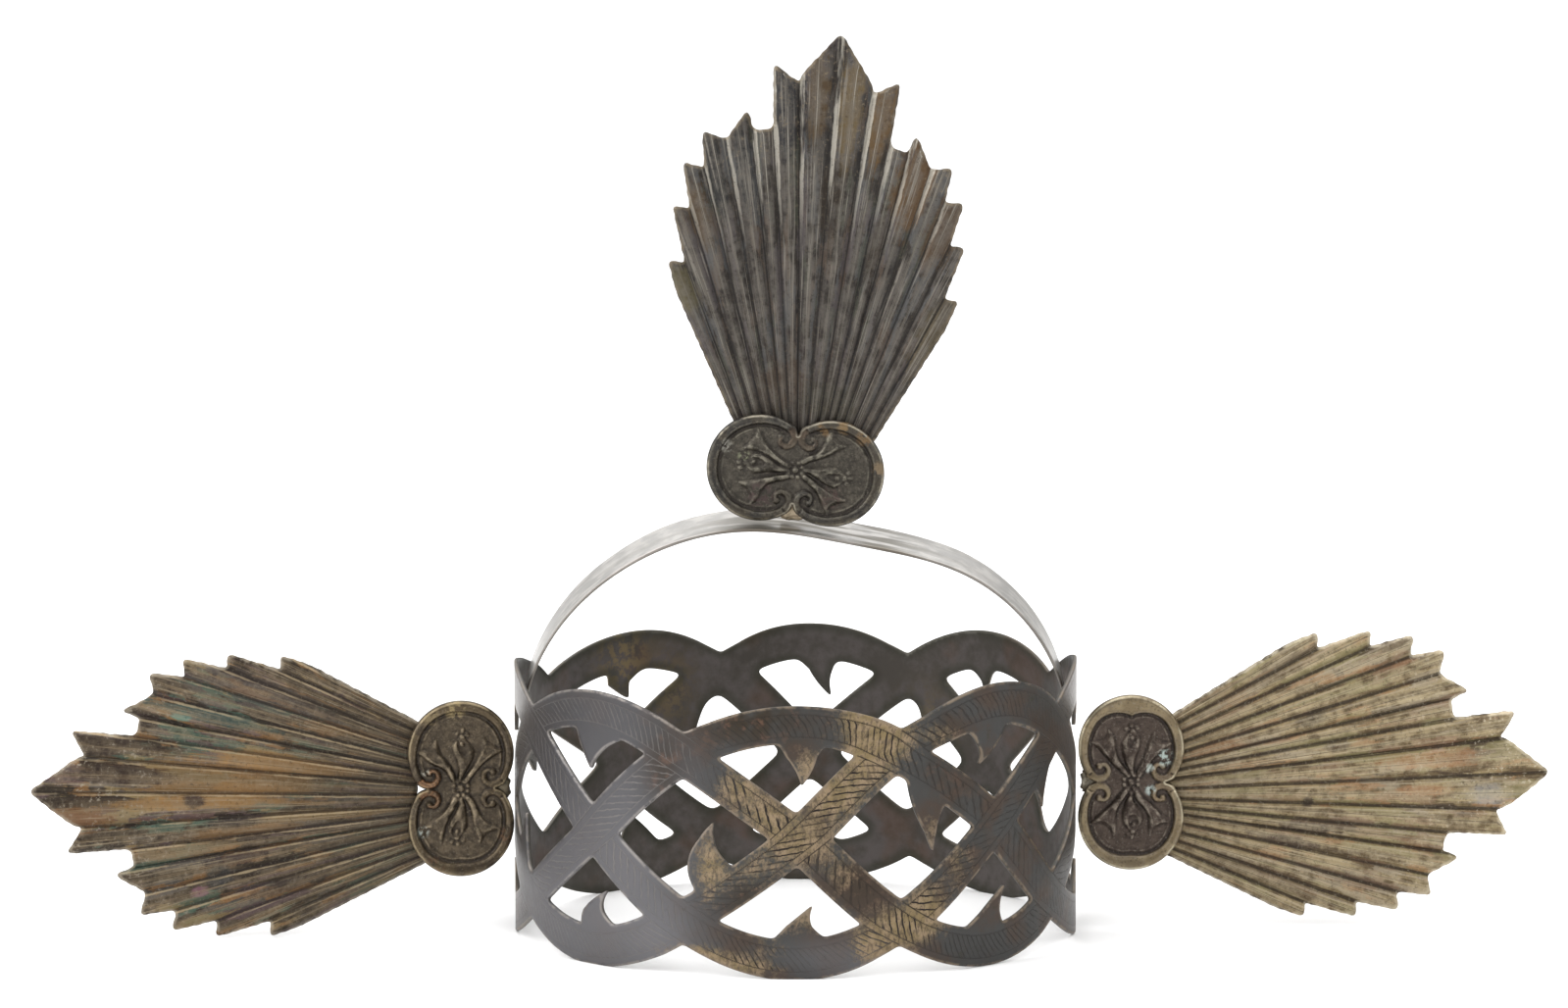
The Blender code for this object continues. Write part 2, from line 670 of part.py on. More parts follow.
for old in list(bpy.data.objects):
    bpy.data.objects.remove(old)
CROWN = make_collection("crown_of_thorns")
CUTTERS = make_collection("cutters", hidden=True)

build_band()
build_arch()
for ray_side in ("left", "right", "top"):
    build_ray(ray_side)
    build_cartouche(ray_side)
    build_tab(ray_side)
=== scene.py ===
"""Looks of the silver crown of thorns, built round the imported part.

Shapes are worked out in millimetres, in the same frame as the part: +Z up, the front
facing -Y. Angles round the band start at the front and grow towards +X.
"""
import math

import bmesh
import bpy
import numpy as np
from mathutils import Matrix, Vector
from mathutils.geometry import delaunay_2d_cdt
from mathutils.kdtree import KDTree


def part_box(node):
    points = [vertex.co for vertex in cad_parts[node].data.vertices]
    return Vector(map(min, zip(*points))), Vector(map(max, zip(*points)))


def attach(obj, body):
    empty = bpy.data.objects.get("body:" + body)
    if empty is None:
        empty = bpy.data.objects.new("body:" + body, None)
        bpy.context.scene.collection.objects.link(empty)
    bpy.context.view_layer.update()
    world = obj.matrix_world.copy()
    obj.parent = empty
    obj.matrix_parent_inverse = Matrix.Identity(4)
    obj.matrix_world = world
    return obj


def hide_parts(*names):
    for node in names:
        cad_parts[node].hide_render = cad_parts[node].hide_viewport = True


MM = 0.001

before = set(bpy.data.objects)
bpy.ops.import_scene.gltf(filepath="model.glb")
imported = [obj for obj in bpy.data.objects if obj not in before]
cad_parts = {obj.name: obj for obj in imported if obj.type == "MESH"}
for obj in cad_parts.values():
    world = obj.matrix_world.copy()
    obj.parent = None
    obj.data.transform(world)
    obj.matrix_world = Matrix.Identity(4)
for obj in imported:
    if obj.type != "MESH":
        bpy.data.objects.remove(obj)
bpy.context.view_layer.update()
band_low, band_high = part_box("band")

# Band, in mm
RING_X = (band_low[0] + band_high[0]) / 2 / MM
BAND_RADIUS = (band_high[0] - band_low[0]) / 2 / MM
BAND_SHEET = 0.75
BAND_HEIGHT = 50.0
FOOT_SHAVE = 0.15
STRAND_WIDTH = 7.1
LOBES = 8
STRANDS = 4
WAVES = LOBES / STRANDS
STRAND_SWING = (BAND_HEIGHT - STRAND_WIDTH) / 2
# A strand's length over the same length round the band: its mean, and how it comes and goes
MEAN_STRETCH = 1.149
STRETCH_SWAY = 0.0745
BAND_MIDDLE = BAND_HEIGHT / 2 - FOOT_SHAVE
LOBE_ANGLE = math.tau / LOBES

# How finely the band's outlines and faces are divided, and the share of a step that the
# inner points of a face keep clear of its outline
EDGE_STEP = 0.3
SKIN_STEP = 0.62
CLEAR_SHARE = 0.55

# Rounds of wear on the corners of the holes, in front and at the back, and on the rims. The
# tips of the thorns hold out against part of it. Then the rounding of the sheet's edges.
CORNER_WEAR = 6
BACK_WEAR = 30
RIM_WEAR = 5
TIP_HOLD = 0.6
TIP_REACH = 0.8
ARRIS = 0.14
ARRIS_SWELL = 0.09
SHEET_WAVE = 0.06

# Engraving: a hatched ribbon between two zigzag border lines runs along the middle of each
# strand. The hatches are counted to a wave and crowd towards the lobes. They stand upright
# where the strand falls and lie level where it rises.
RIBBON_HALF = 2.05
ZIGZAG_PITCH = 0.36
ZIGZAG_DEPTH = 0.34
HATCH_COUNT = 114
HATCH_CROWD = 1.75
HATCH_GAP = 1.12
HATCH_LEAN = 0.60
HATCH_TURN = 0.66
CUT_WIDTH = 0.21
# Further than this above or below the middle, the falling strand lies over the rising one
OVER_LEVEL = 7.6

# How far the hand-cut pattern strays from an even one, in mm round the band and up.
# Each row starts at the front, or 22.5 degrees to the right of it for crossings.
LOW_LOBE_DRIFT = (
    (0, 0), (-3.0, 0.3), (-2.5, 0), (-3.0, 0), (-3.0, 0), (-3.0, 0), (-1.0, 0), (0, 0))
LOWER_CROSS_DRIFT = (
    (-1.3, -0.5), (-3.5, 0.4), (0, 0), (-1.8, 0), (-4.5, -0.3), (0, 0), (-1.2, -0.4), (-1.0, 0.2))
MID_CROSS_DRIFT = (
    (0.9, 0.3), (-0.7, 0.8), (0, 0.6), (0, 0), (-2.8, -0.2), (-5.0, 0), (0, 0.4), (0.6, -0.7))
UPPER_CROSS_DRIFT = (
    (-2.6, 0.3), (-1.0, 0.6), (0, 0.3), (-2.8, 0.5), (-5.8, 0.8), (0, -1.6), (-0.6, 0.8), (-0.8, -0.4))
TOP_LOBE_DRIFT = (
    (0, -0.9), (0, 1.1), (0, 0.6), (0, 0.2), (-3.0, -0.4), (-9.0, -0.5), (0, 0.0), (0, -0.3))

# Thorns, as shares of the half width and the height of the hole they grow into:
# middle of the base, width of the base, sideways lean of the tip, rise, and how far
# the left and right sides bow inwards.
TOP_THORNS = (
    (0.16, 0.66, -0.02, 0.58, 0.16, -0.12),
    (-0.12, 0.62, -0.15, 0.47, 0.28, -0.20),
    (0.10, 0.60, 0.10, 0.42, 0.08, 0.10),
    (0.13, 0.45, 0.00, 0.36, 0.08, 0.08),
    (-0.06, 0.60, -0.22, 0.56, 0.22, -0.14),
    (-0.02, 0.52, -0.18, 0.45, 0.08, -0.06),
    (-0.10, 0.60, 0.12, 0.42, 0.16, -0.10),
    (0.15, 0.86, -0.14, 0.50, -0.04, 0.20),
)
LOW_THORNS = (
    (0.10, 0.69, 0.18, 0.45, 0.00, 0.18),
    (-0.06, 0.70, 0.34, 0.50, 0.00, 0.16),
    (0.10, 0.60, -0.16, 0.44, 0.16, -0.10),
    (0.00, 0.64, 0.16, 0.44, 0.02, 0.12),
    (-0.12, 0.62, 0.10, 0.44, 0.10, 0.04),
    (-0.40, 0.62, 0.18, 0.52, -0.08, 0.00),
    (-0.10, 0.66, 0.20, 0.46, -0.10, 0.18),
    (0.13, 0.60, 0.20, 0.50, -0.26, 0.28),
)
# The thorns of the diamonds grow up from the floor or down from the ceiling
DIAMOND_THORNS = (
    ("ceiling", 0.36, 0.46, 0.03, 0.48, -0.16, 0.12),
    ("ceiling", -0.42, 0.34, -0.02, 0.26, 0.04, 0.06),
    ("floor", 0.36, 0.40, 0.02, 0.36, 0.06, 0.06),
    ("ceiling", -0.36, 0.40, 0.04, 0.28, 0.05, 0.05),
    ("ceiling", 0.42, 0.50, -0.10, 0.32, 0.05, 0.05),
    ("ceiling", 0.36, 0.40, -0.04, 0.28, 0.05, 0.05),
    ("floor", -0.30, 0.40, 0.05, 0.34, 0.06, 0.06),
    ("floor", 0.37, 0.41, -0.03, 0.47, -0.44, 0.26),
)

# Tones of the band, as soft patches: degrees round, mm up, reach of each, strength.
# A brown patch counts as the opposite of a pale one.
TAN_PATCHES = (
    (0, 25, 9, 6, 0.75), (-11, 34, 6, 5, 0.75), (-5, 29, 5, 4, 0.7), (8, 33, 6, 5, 0.95),
    (14, 39, 5, 5, 1.0), (18, 44, 7, 7, 1.0), (13, 47, 5, 4, 0.95), (22, 9, 8, 4, 1.0),
    (16, 6, 6, 4, 0.9), (27, 12, 5, 5, 0.8), (-17, 20, 4, 7, 0.75), (-9, 19, 6, 4, 0.45),
    (-20, 4, 8, 2, 0.9), (-11, 2, 9, 2, 0.8), (-6, 7, 6, 3, 0.45), (9, 19, 5, 5, 0.45),
    (34, 20, 4, 6, 0.5), (30, 43, 5, 3, 0.5), (3, 11, 5, 3, 0.6),
    (3, 38, 3.5, 4, 0.65), (28, 26, 3, 4, 0.45),
    (-140, 44, 6, 8, 0.8), (-152, 38, 5, 6, 0.5), (150, 30, 6, 7, 0.4),
)
PURPLE_PATCHES = (
    (-36, 30, 14, 30, 1.0), (-58, 25, 20, 40, 1.0), (-28, 6, 8, 8, 0.75), (-24, 36, 5, 7, 0.6),
    (12, 3, 8, 5, 0.45), (3, 4, 7, 3, 0.30),
)
BROWN_PATCHES = (
    (-10, 47, 12, 6, 1.0), (-27, 37, 6, 9, 0.9), (-9, 14, 8, 5, 0.7), (13, 17, 6, 5, 0.6),
    (30, 41, 6, 6, 0.6), (36, 26, 6, 10, 0.5), (-150, 40, 12, 10, 0.6),
)
# Pale patches at the sides, where the band turns away from the front, are painted sheen.
PALE_PATCHES = (
    (-84, 43, 14, 12, 1.0), (84, 43, 14, 12, 0.95), (-86, 14, 12, 14, 0.5), (86, 16, 12, 14, 0.5),
    (-120, 30, 20, 30, 0.5), (120, 30, 20, 30, 0.5), (180, 30, 60, 30, 0.35),
)

# Arch, in mm
ARCH_TOP = 78.6
ARCH_WIDTH = 15.0
ARCH_SHEET = 0.6
ARCH_ROUND = 0.12
ARCH_MARGIN = 0.6
ARCH_LEAN = math.radians(7.0)
ARCH_SPRING = 38.0
ARCH_FOOT = 41.5
ARCH_DIP = 3.4
ARCH_DIP_PLACE = 12.0
ARCH_DIP_WIDTH = 20.0
JOINT_GAP = 0.3

# Rays, in mm and degrees from their middle line
RAY_LENGTH = 96.2
RAY_SHEET = 0.6
FLUTE_DEPTH = 1.3
RAY_OUTLINE = (
    (0.0, 1.000), (4.0, 0.918), (4.4, 0.898), (7.3, 0.933), (7.7, 0.811),
    (10.4, 0.809), (10.8, 0.848), (14.0, 0.794), (16.7, 0.817), (17.5, 0.747),
    (20.1, 0.767), (21.0, 0.678), (23.3, 0.694), (24.5, 0.584), (27.0, 0.601), (27.9, 0.540),
)
RAY_VALLEYS = (0.0, 4.3, 7.7, 10.5, 14.0, 17.5, 21.0, 24.5, 27.9)
# Each ray's direction, the meeting point of its flutes seen from its cartouche's middle, its
# size and spread against the outline, how much longer and wider it grows towards one side,
# where its sheet starts, and how much further in its foot reaches
RAY_TURN = {"left": -88.4, "right": 87.4, "top": 4.8}
RAY_ORIGIN = {"left": (18.1, -2.0), "right": (-16.3, -2.6), "top": (0.2, -17.2)}
RAY_SCALE = {"left": 1.007, "right": 0.9735, "top": 1.009}
RAY_SPREAD = {"left": 0.9825, "right": 1.0365, "top": 1.005}
RAY_SKEW = {"left": -0.00039, "right": -0.00176, "top": -0.00122}
RAY_WIDER = {"left": -0.00024, "right": -0.00045, "top": -0.00064}
RAY_START = {"left": 26.8, "right": 22.4, "top": 23.5}
RAY_FOOT = {"left": -0.7, "right": 0.0, "top": 0.0}
RAY_COLUMN_STEP = 0.4
RAY_ROW_STEP = 1.2
RAY_EDGE_STEP = 0.35
RAY_WEAR = 9
RAY_ARRIS = 0.12
RAY_SWELL = 0.07
RAY_CLEAR = 0.3
FLUTE_ROUNDNESS = 2.2
FLUTE_RIPPLE = 0.05
TOP_RAY_FORWARD = 1.2

# Cartouches, in mm: two rounds side by side, whose raised rims curl inwards to a scroll at
# each notch. The scroll winds about its own middle, from the rim to its eye.
ROUND_RADIUS = 9.75
ROUND_HALF = 6.5
BACK_INSET = 0.3
SHOULDER = 0.45
FIELD = 1.0
RELIEF_STEP = 0.24
ROLL_HALF = 0.75
ROLL_TAPER = 0.11
SCROLL_MIDDLE = (2.5, 5.4)
SCROLL_WIND = 0.26
SCROLL_TURN = 4.8
SCROLL_START = math.atan2(SCROLL_MIDDLE[1], SCROLL_MIDDLE[0] - ROUND_HALF)
NOTCH_TURN = 0.55
NOTCH_HALF = 0.06
SIDE_PETALS = (-33, 35)
PETAL_REACH = 9.9
PETAL_WIDEST = 7.2
BEADS = 8
BEAD_RING = 1.35
HAND_WAVER = 0.28
HOLLOW_REACH = 0.6
# Width of each cartouche's rim, how far its far ends reach in as a cusp, left and right, and
# the height of its outer and inner scrolls
RIM_WIDTH = {"left": 1.7, "right": 1.9, "top": 1.8}
CUSPS = {"left": (0.8, 0.3), "right": (2.0, 0.8), "top": (0.2, 0.3)}
SCROLL_HEIGHT = {"left": (0.80, 0.45), "right": (0.50, 0.25), "top": (0.30, 0.55)}
# Degrees of each cartouche's turn in its plane and of the swing of that plane, the height of
# its middle and its place from front to back
CARTOUCHE_TURN = {"left": -90, "right": 90, "top": 5}
CARTOUCHE_HEIGHT = {"left": 27.1, "right": 27.3}
CARTOUCHE_PLACE = {"left": -5.5, "right": 0.5}
SIDE_SWING = {"left": 7, "right": 0, "top": 0}
CARTOUCHE_CLEAR = 0.5
CARTOUCHE_DEPTH = -FLUTE_DEPTH * RAY_START["left"] / RAY_LENGTH - CARTOUCHE_CLEAR


# Finishes

class Wire:
    """A socket's value inside a node tree, used in sums as a number would be."""

    def __init__(self, nodes, socket):
        self.nodes = nodes
        self.socket = socket

    def __add__(self, other):
        return self.nodes.maths("ADD", self, other)

    def __sub__(self, other):
        return self.nodes.maths("SUBTRACT", self, other)

    def __rsub__(self, other):
        return self.nodes.maths("SUBTRACT", other, self)

    def __mul__(self, other):
        return self.nodes.maths("MULTIPLY", self, other)

    def __truediv__(self, other):
        return self.nodes.maths("DIVIDE", self, other)

    def __abs__(self):
        return self.nodes.maths("ABSOLUTE", self)

    __radd__ = __add__
    __rmul__ = __mul__


class Nodes:
    """A node tree, and the kinds of nodes that the looks are made of."""

    def __init__(self, tree):
        self.tree = tree

    def feed(self, socket, value):
        if isinstance(value, Wire):
            self.tree.links.new(value.socket, socket)
        elif socket.type == "RGBA":
            socket.default_value = (*value, 1.0)
        else:
            socket.default_value = value

    def node(self, kind, settings, sockets, output=0):
        """Adds a node: its settings come first, then the values or links of its sockets."""
        node = self.tree.nodes.new(kind)
        for name, value in settings.items():
            setattr(node, name, value)
        for name, value in sockets.items():
            self.feed(node.inputs[name], value)
        return Wire(self, node.outputs[output])

    def maths(self, operation, *values):
        return self.node("ShaderNodeMath", {"operation": operation}, dict(enumerate(values)))

    def trait(self, name, output="Fac"):
        return self.node("ShaderNodeAttribute", {"attribute_name": name}, {}, output)

    def place(self, output="Object"):
        return self.node("ShaderNodeTexCoord", {}, {}, output)

    def parts(self, vector):
        """The three numbers of a vector."""
        split = self.node("ShaderNodeSeparateXYZ", {}, {0: vector})
        return [Wire(self, output) for output in split.socket.node.outputs]

    def vector(self, x, y, z):
        return self.node("ShaderNodeCombineXYZ", {}, {0: x, 1: y, 2: z})

    def length(self, x, y):
        """Distance covered by going x one way and y across it."""
        return self.maths("SQRT", self.maths("POWER", x, 2.0) + self.maths("POWER", y, 2.0))

    def grain(self, vector, size, detail=3.0, roughness=0.55):
        """Smooth noise from 0 to 1 with patches of about this size."""
        sockets = {"Vector": vector, "Scale": 1 / size, "Detail": detail, "Roughness": roughness}
        return self.node("ShaderNodeTexNoise", {}, sockets)

    def step(self, value, low, high, bottom=0.0, top=1.0):
        """The bottom value under low, the top one over high, and smooth between."""
        sockets = {"Value": value, "From Min": low, "From Max": high,
                   "To Min": bottom, "To Max": top}
        return self.node("ShaderNodeMapRange", {"interpolation_type": "SMOOTHSTEP"}, sockets)

    def fade(self, value, low, high):
        """1 under low, 0 over high and smooth between."""
        return 1 - self.step(value, low, high)

    def line(self, distance, width, soft=0.06):
        """1 on a line of this width, 0 beside it."""
        return self.fade(abs(distance), width / 2, width / 2 + soft)

    def mix(self, share, first, second):
        settings = {"data_type": "RGBA", "clamp_factor": True}
        return self.node("ShaderNodeMix", settings, {0: share, 6: first, 7: second}, 2)

    def capped(self, value):
        return self.maths("MINIMUM", value, 1.0)


class Finish(Nodes):
    """A surface finish: one metal shader, its skin colour, and the nodes that vary them."""

    def __init__(self, name, metallic, roughness):
        self.material = bpy.data.materials.new(name)
        self.material.use_nodes = True
        super().__init__(self.material.node_tree)
        self.shader = self.tree.nodes["Principled BSDF"]
        self.skin = None
        self.set("Metallic", metallic)
        self.set("Roughness", roughness)

    def set(self, name, value):
        self.feed(self.shader.inputs[name], value)

    def lay(self, share, colour):
        """Lays a colour over the skin, as strongly as share says."""
        self.skin = self.mix(share, self.skin, colour)

    def relief(self, height, depth):
        """Feeds the shader's normal from a height from 0 to 1, depth being in metres."""
        sockets = {"Strength": 1.0, "Distance": depth, "Height": height}
        self.set("Normal", self.node("ShaderNodeBump", {}, sockets))


# Colours of the metal, roughly from light to dark
BRIGHT_SILVER = (0.74, 0.715, 0.68)
SATIN_SILVER = (0.58, 0.565, 0.54)
DULL_SILVER = (0.36, 0.34, 0.30)
SCRATCHED_SILVER = (0.30, 0.28, 0.25)
PALE_SILVER = (0.28, 0.262, 0.25)
WORN_TAN = (0.270, 0.200, 0.125)
WORN_OLIVE = (0.210, 0.156, 0.078)
RUBBED_AND_HIGHLIT_EDGE = (0.210, 0.165, 0.120)
APEX_DARK_REFLECTION = (0.17, 0.15, 0.115)
LAVENDER_GREY = (0.145, 0.142, 0.151)
EDGE_GRIME = (0.12, 0.10, 0.08)
SLATE_GREY = (0.084, 0.082, 0.087)
DARK_GREY = (0.054, 0.053, 0.051)
BROWN_PURPLE = (0.064, 0.047, 0.037)
LINING_GREY = (0.100, 0.088, 0.083)
LINING_DARK = (0.068, 0.060, 0.052)
GREEN_BLACK = (0.036, 0.038, 0.025)
RUST = (0.110, 0.062, 0.040)
DIRT_BROWN = (0.034, 0.025, 0.016)
DARK_SCRATCH_AND_SHADE = (0.018, 0.014, 0.012)


def woven_strands(finish, turn, height):
    """For each strand its phase, slope and distance aside, and masks of it and its top."""
    off_middle = finish.step(abs(height - BAND_MIDDLE), OVER_LEVEL - 0.3, OVER_LEVEL + 0.3)
    strands = []
    for number in range(STRANDS):
        phase = turn * WAVES - number * math.tau / STRANDS
        slope = finish.maths("SINE", phase) * (-STRAND_SWING * WAVES / BAND_RADIUS)
        stretch = finish.maths("SQRT", slope * slope + 1)
        centre = finish.maths("COSINE", phase) * STRAND_SWING + BAND_MIDDLE
        aside = (height - centre) / stretch
        inside = finish.fade(abs(aside), STRAND_WIDTH / 2 - 0.15, STRAND_WIDTH / 2 + 0.05)
        falling = finish.fade(slope, -0.1, 0.1)
        over = off_middle * falling + (1 - off_middle) * (1 - falling)
        strands.append((phase, slope, aside, inside, over))
    return strands


def engraving(finish, turn, height, place):
    """Mask of the cuts: hatches, zigzag borders, and edges where a strand laps another."""
    wriggle = finish.grain(place, 1.4 * MM, 2.0) - 0.5
    strands = woven_strands(finish, turn, height)
    covered = sum((strand[3] for strand in strands[1:]), strands[0][3])
    ribbon = 0
    border = 0
    lap = 0
    for phase, slope, aside, inside, over in strands:
        sway = finish.maths("SINE", phase * 2)
        along = (phase * MEAN_STRETCH - sway * STRETCH_SWAY) * (BAND_RADIUS / WAVES)
        shown = inside * (1 - (1 - over) * finish.capped(covered - inside))
        zigzag = abs(finish.maths("FRACT", along / ZIGZAG_PITCH) - 0.5) * ZIGZAG_DEPTH
        edge_cut = finish.line(abs(aside) - RIBBON_HALF - zigzag, CUT_WIDTH * 0.7)
        lean = slope * HATCH_TURN + HATCH_LEAN
        lines = phase * (HATCH_COUNT / math.tau) + sway * HATCH_CROWD
        saw = finish.maths("FRACT", lines + aside * lean + wriggle * 0.5)
        hatch = finish.line((saw - 0.5) * HATCH_GAP, CUT_WIDTH)
        hatch = hatch * finish.fade(abs(aside), RIBBON_HALF - 0.1, RIBBON_HALF + 0.15)
        ribbon = hatch * shown + ribbon
        border = edge_cut * shown + border
        lap_cut = finish.line(abs(aside) - STRAND_WIDTH / 2 + 0.12, 0.10, 0.12)
        lap = lap_cut * over * finish.capped(covered - inside) + lap
    depth_of_cut = finish.step(finish.grain(place, 3.1 * MM, 2.0), 0.30, 0.55)
    return finish.capped(ribbon * depth_of_cut + border * 0.75 + lap * 0.8)


def band_finish():
    """Tarnished silver with an engraved weave, worn tan at the front, painted sheen at the sides and
    worn edges with a painted highlight.
    """
    finish = Finish("engraved_dark_silver", 0.75, 0.5)
    sine, cosine, height = finish.parts(finish.trait("pattern", "Vector"))
    turn = finish.maths("ARCTAN2", sine, cosine)
    tan, purple, paleness = finish.parts(finish.trait("zones", "Vector"))
    pale = finish.maths("MAXIMUM", paleness, 0.0)
    brown = finish.maths("MAXIMUM", 0.0 - paleness, 0.0)
    outside = finish.trait("outside")
    edge = finish.trait("edge")
    place = finish.place()
    cuts = engraving(finish, turn, height, place) * outside

    # Base tones
    cloud = finish.grain(place, 9.0 * MM, 4.0)
    mottle = finish.grain(place, 2.2 * MM, 5.0, 0.65)
    speck = finish.grain(place, 0.55 * MM, 3.0, 0.6)
    scratched = finish.vector(turn * (BAND_RADIUS / 0.55), height / 1.7, mottle * 3.0)
    strokes = finish.grain(scratched, 1.0, 2.0)
    dark = finish.mix(finish.step(cloud, 0.42, 0.62), DARK_GREY, BROWN_PURPLE)
    dark = finish.mix(finish.step(mottle, 0.58, 0.74) * 0.6, dark, GREEN_BLACK)
    lavender = finish.mix(finish.step(height, 6.0, 46.0), LAVENDER_GREY, SLATE_GREY)
    grime = finish.mix(finish.step(mottle, 0.50, 0.66), DIRT_BROWN, RUST)
    dark = finish.mix(brown * finish.step(cloud, 0.30, 0.50), dark, grime)
    cover = purple * (1 - brown * 0.8)
    finish.skin = finish.mix(cover * finish.step(mottle, 0.10, 0.40), dark, lavender)
    worn = finish.mix(finish.step(mottle, 0.40, 0.62), WORN_OLIVE, WORN_TAN)
    worn = finish.mix(finish.step(strokes, 0.50, 0.64) * 0.55, worn, BROWN_PURPLE)
    worn = finish.mix(finish.step(speck, 0.56, 0.70) * 0.6, worn, DARK_SCRATCH_AND_SHADE)
    tan_mask = finish.step(tan + (mottle - 0.5) * 1.1 + (speck - 0.5) * 0.7, 0.25, 0.90)
    finish.lay(tan_mask, worn)
    # Pale silver at the sides, where the band turns away: painted sheen.
    finish.lay(pale * 0.85, PALE_SILVER)
    # Worn edges, tan or pale, with a painted highlight along them.
    rub_and_highlight = finish.fade(edge, 0.12, 0.50) * finish.step(mottle, 0.38, 0.58)
    finish.lay(rub_and_highlight * 0.75, finish.mix(purple, RUBBED_AND_HIGHLIT_EDGE, PALE_SILVER))
    cut_tone = finish.mix(finish.capped(purple + pale * 0.3) * 0.7, DARK_SCRATCH_AND_SHADE, PALE_SILVER)
    cut_share = finish.capped(tan_mask * 0.9 + purple * 0.15 + 0.45)
    finish.lay(cuts * cut_share, cut_tone)

    # Inside
    stain = finish.step(finish.grain(place, 13.0 * MM, 3.0), 0.50, 0.66)
    depth = finish.step(cloud * 0.6 + mottle * 0.4, 0.40, 0.60)
    lining = finish.mix(depth, LINING_GREY, LINING_DARK)
    lining = finish.mix(finish.capped(stain * 0.40 + brown * 0.4), lining, RUST)
    lining = finish.mix(tan * finish.step(mottle, 0.40, 0.56), lining, WORN_OLIVE)
    lining = finish.mix(finish.fade(edge, 0.4, 2.2) * 0.55, lining, GREEN_BLACK)

    finish.set("Base Color", finish.mix(outside, lining, finish.skin))
    finish.set("Roughness", mottle * 0.22 + (1 - pale) * 0.12 + 0.26)
    level = (1 - cuts) * 0.8 + mottle * 0.22 + speck * 0.10 + (1 - strokes * tan) * 0.2
    finish.relief(level, 0.00012)
    return finish.material


def ray_finish(side):
    """Fluted silver: streaks along the flutes, stains, dirt and painted shade in the valleys, worn
    ridges and crests with painted highlights.
    """
    finish = Finish("fluted_silver_" + side, 0.72, 0.42)
    degrees, reach, aside = finish.parts(finish.trait("flute", "Vector"))
    swell = finish.trait("swell")
    edge = finish.trait("edge")
    place = finish.place()

    def drawn_out(across, along, seed, detail=4.0, roughness=0.6):
        """Noise drawn out along the flutes."""
        spot = finish.vector(degrees * across, reach * along, seed)
        return finish.grain(spot, 1.0, detail, roughness)

    streak = drawn_out(5.0, 0.06, 3.7)
    fine = drawn_out(14.0, 0.16, 5.1, 4.0, 0.65)
    shade = drawn_out(0.9, 0.07, 9.1)
    mottle = finish.grain(place, 2.6 * MM, 5.0, 0.65)
    speck = finish.grain(place, 0.6 * MM, 3.0, 0.6)
    tones = RAY_TONES[side]

    # Stains and spots
    tone = streak * 0.28 + shade * 0.42 + mottle * 0.30
    finish.skin = finish.mix(finish.step(tone, 0.43, 0.57), tones["low"], tones["high"])
    for number, (threshold, share, colour) in enumerate(tones["stains"]):
        stain = drawn_out(0.42, 0.060, 11.3 + 7.7 * number)
        stain = stain + (streak - 0.5) * 0.15 + (mottle - 0.5) * 0.20
        finish.lay(finish.step(stain, threshold, threshold + 0.04) * share, colour)
    for turn, out, length, width, share, colour in tones["spots"]:
        across = (degrees - turn) * (math.radians(out) / width)
        away = finish.length((reach - out) / length, across)
        away = away + (mottle - 0.5) * 1.1 + (streak - 0.5) * 1.0
        finish.lay(finish.fade(away, 0.55, 1.0) * share, colour)

    # Ridges, worn and with a painted highlight; valleys, dirt with painted shade; the dirty foot and
    # fine scratches
    ridge = finish.step(swell, 0.45, 1.0) * finish.step(mottle, 0.34, 0.60)
    finish.lay(ridge * tones["ridge_share"], tones["ridge"])
    finish.lay(finish.step(fine, 0.54, 0.68) * (tones["ridge_share"] * 0.6), tones["ridge"])
    width, share, colour = tones["valley"]
    finish.lay(finish.fade(fine, 0.32, 0.45) * 0.25, colour)
    starts, ends, foot_share, foot_colour = tones["foot"]
    finish.lay(finish.fade(reach + (mottle - 0.5) * 24, starts, ends) * foot_share, foot_colour)
    hair = finish.step(drawn_out(2.2, 0.05, 17.3, 2.0, 0.5), 0.60, 0.67)
    hair_share, hair_colour = tones["hair"]
    finish.lay(hair * finish.step(fine, 0.36, 0.5) * hair_share, hair_colour)
    # Valley lines: dirt and painted shade in the valleys.
    groove = finish.fade(abs(aside), width * 0.30, width)
    finish.lay(groove * share * finish.step(streak, 0.26, 0.46), colour)

    # The gleam beside each valley
    offset, width, starts, share, colour = tones["beside"]
    widen = finish.step(reach, RAY_LENGTH * 0.50, RAY_LENGTH * 0.9) * width
    gleam = finish.fade(abs(aside - offset) - widen + (mottle - 0.5) * 0.6, 0.06, 0.22)
    gleam = gleam * finish.step(reach, RAY_LENGTH * starts, RAY_LENGTH * (starts + 0.25))
    finish.lay(gleam * finish.step(shade, 0.38, 0.54) * share, colour)

    # Specks, a painted highlight on the crests, and flecks and rubbing towards the cut edges, with a
    # painted highlight along them
    finish.lay(finish.step(speck, 0.58, 0.70) * 0.45, DARK_SCRATCH_AND_SHADE)
    crest_share, crest_colour = tones["crest_highlight"]
    crest_highlight = finish.step(swell, 0.960, 0.995) * finish.step(fine, 0.42, 0.56)
    finish.lay(crest_highlight * crest_share, crest_colour)
    outward = finish.step(reach, RAY_LENGTH * 0.6, RAY_LENGTH * 0.95)
    outward = outward * finish.step(mottle, 0.46, 0.60)
    finish.lay(finish.fade(speck, 0.34, 0.44) * (outward * 0.6 + 0.12), tones["rim"])
    # Worn cut edges with a painted highlight along them.
    rub_and_highlight = finish.fade(edge, 0.10, 0.65) * finish.step(mottle, 0.38, 0.58)
    finish.lay(rub_and_highlight * 0.6, tones["rim"])
    finish.set("Base Color", finish.skin)
    finish.set("Roughness", streak * 0.25 + mottle * 0.15 + 0.22)
    finish.relief(streak * 0.4 + fine * 0.3 + mottle * 0.25 + speck * 0.15, 0.00014)
    return finish.material
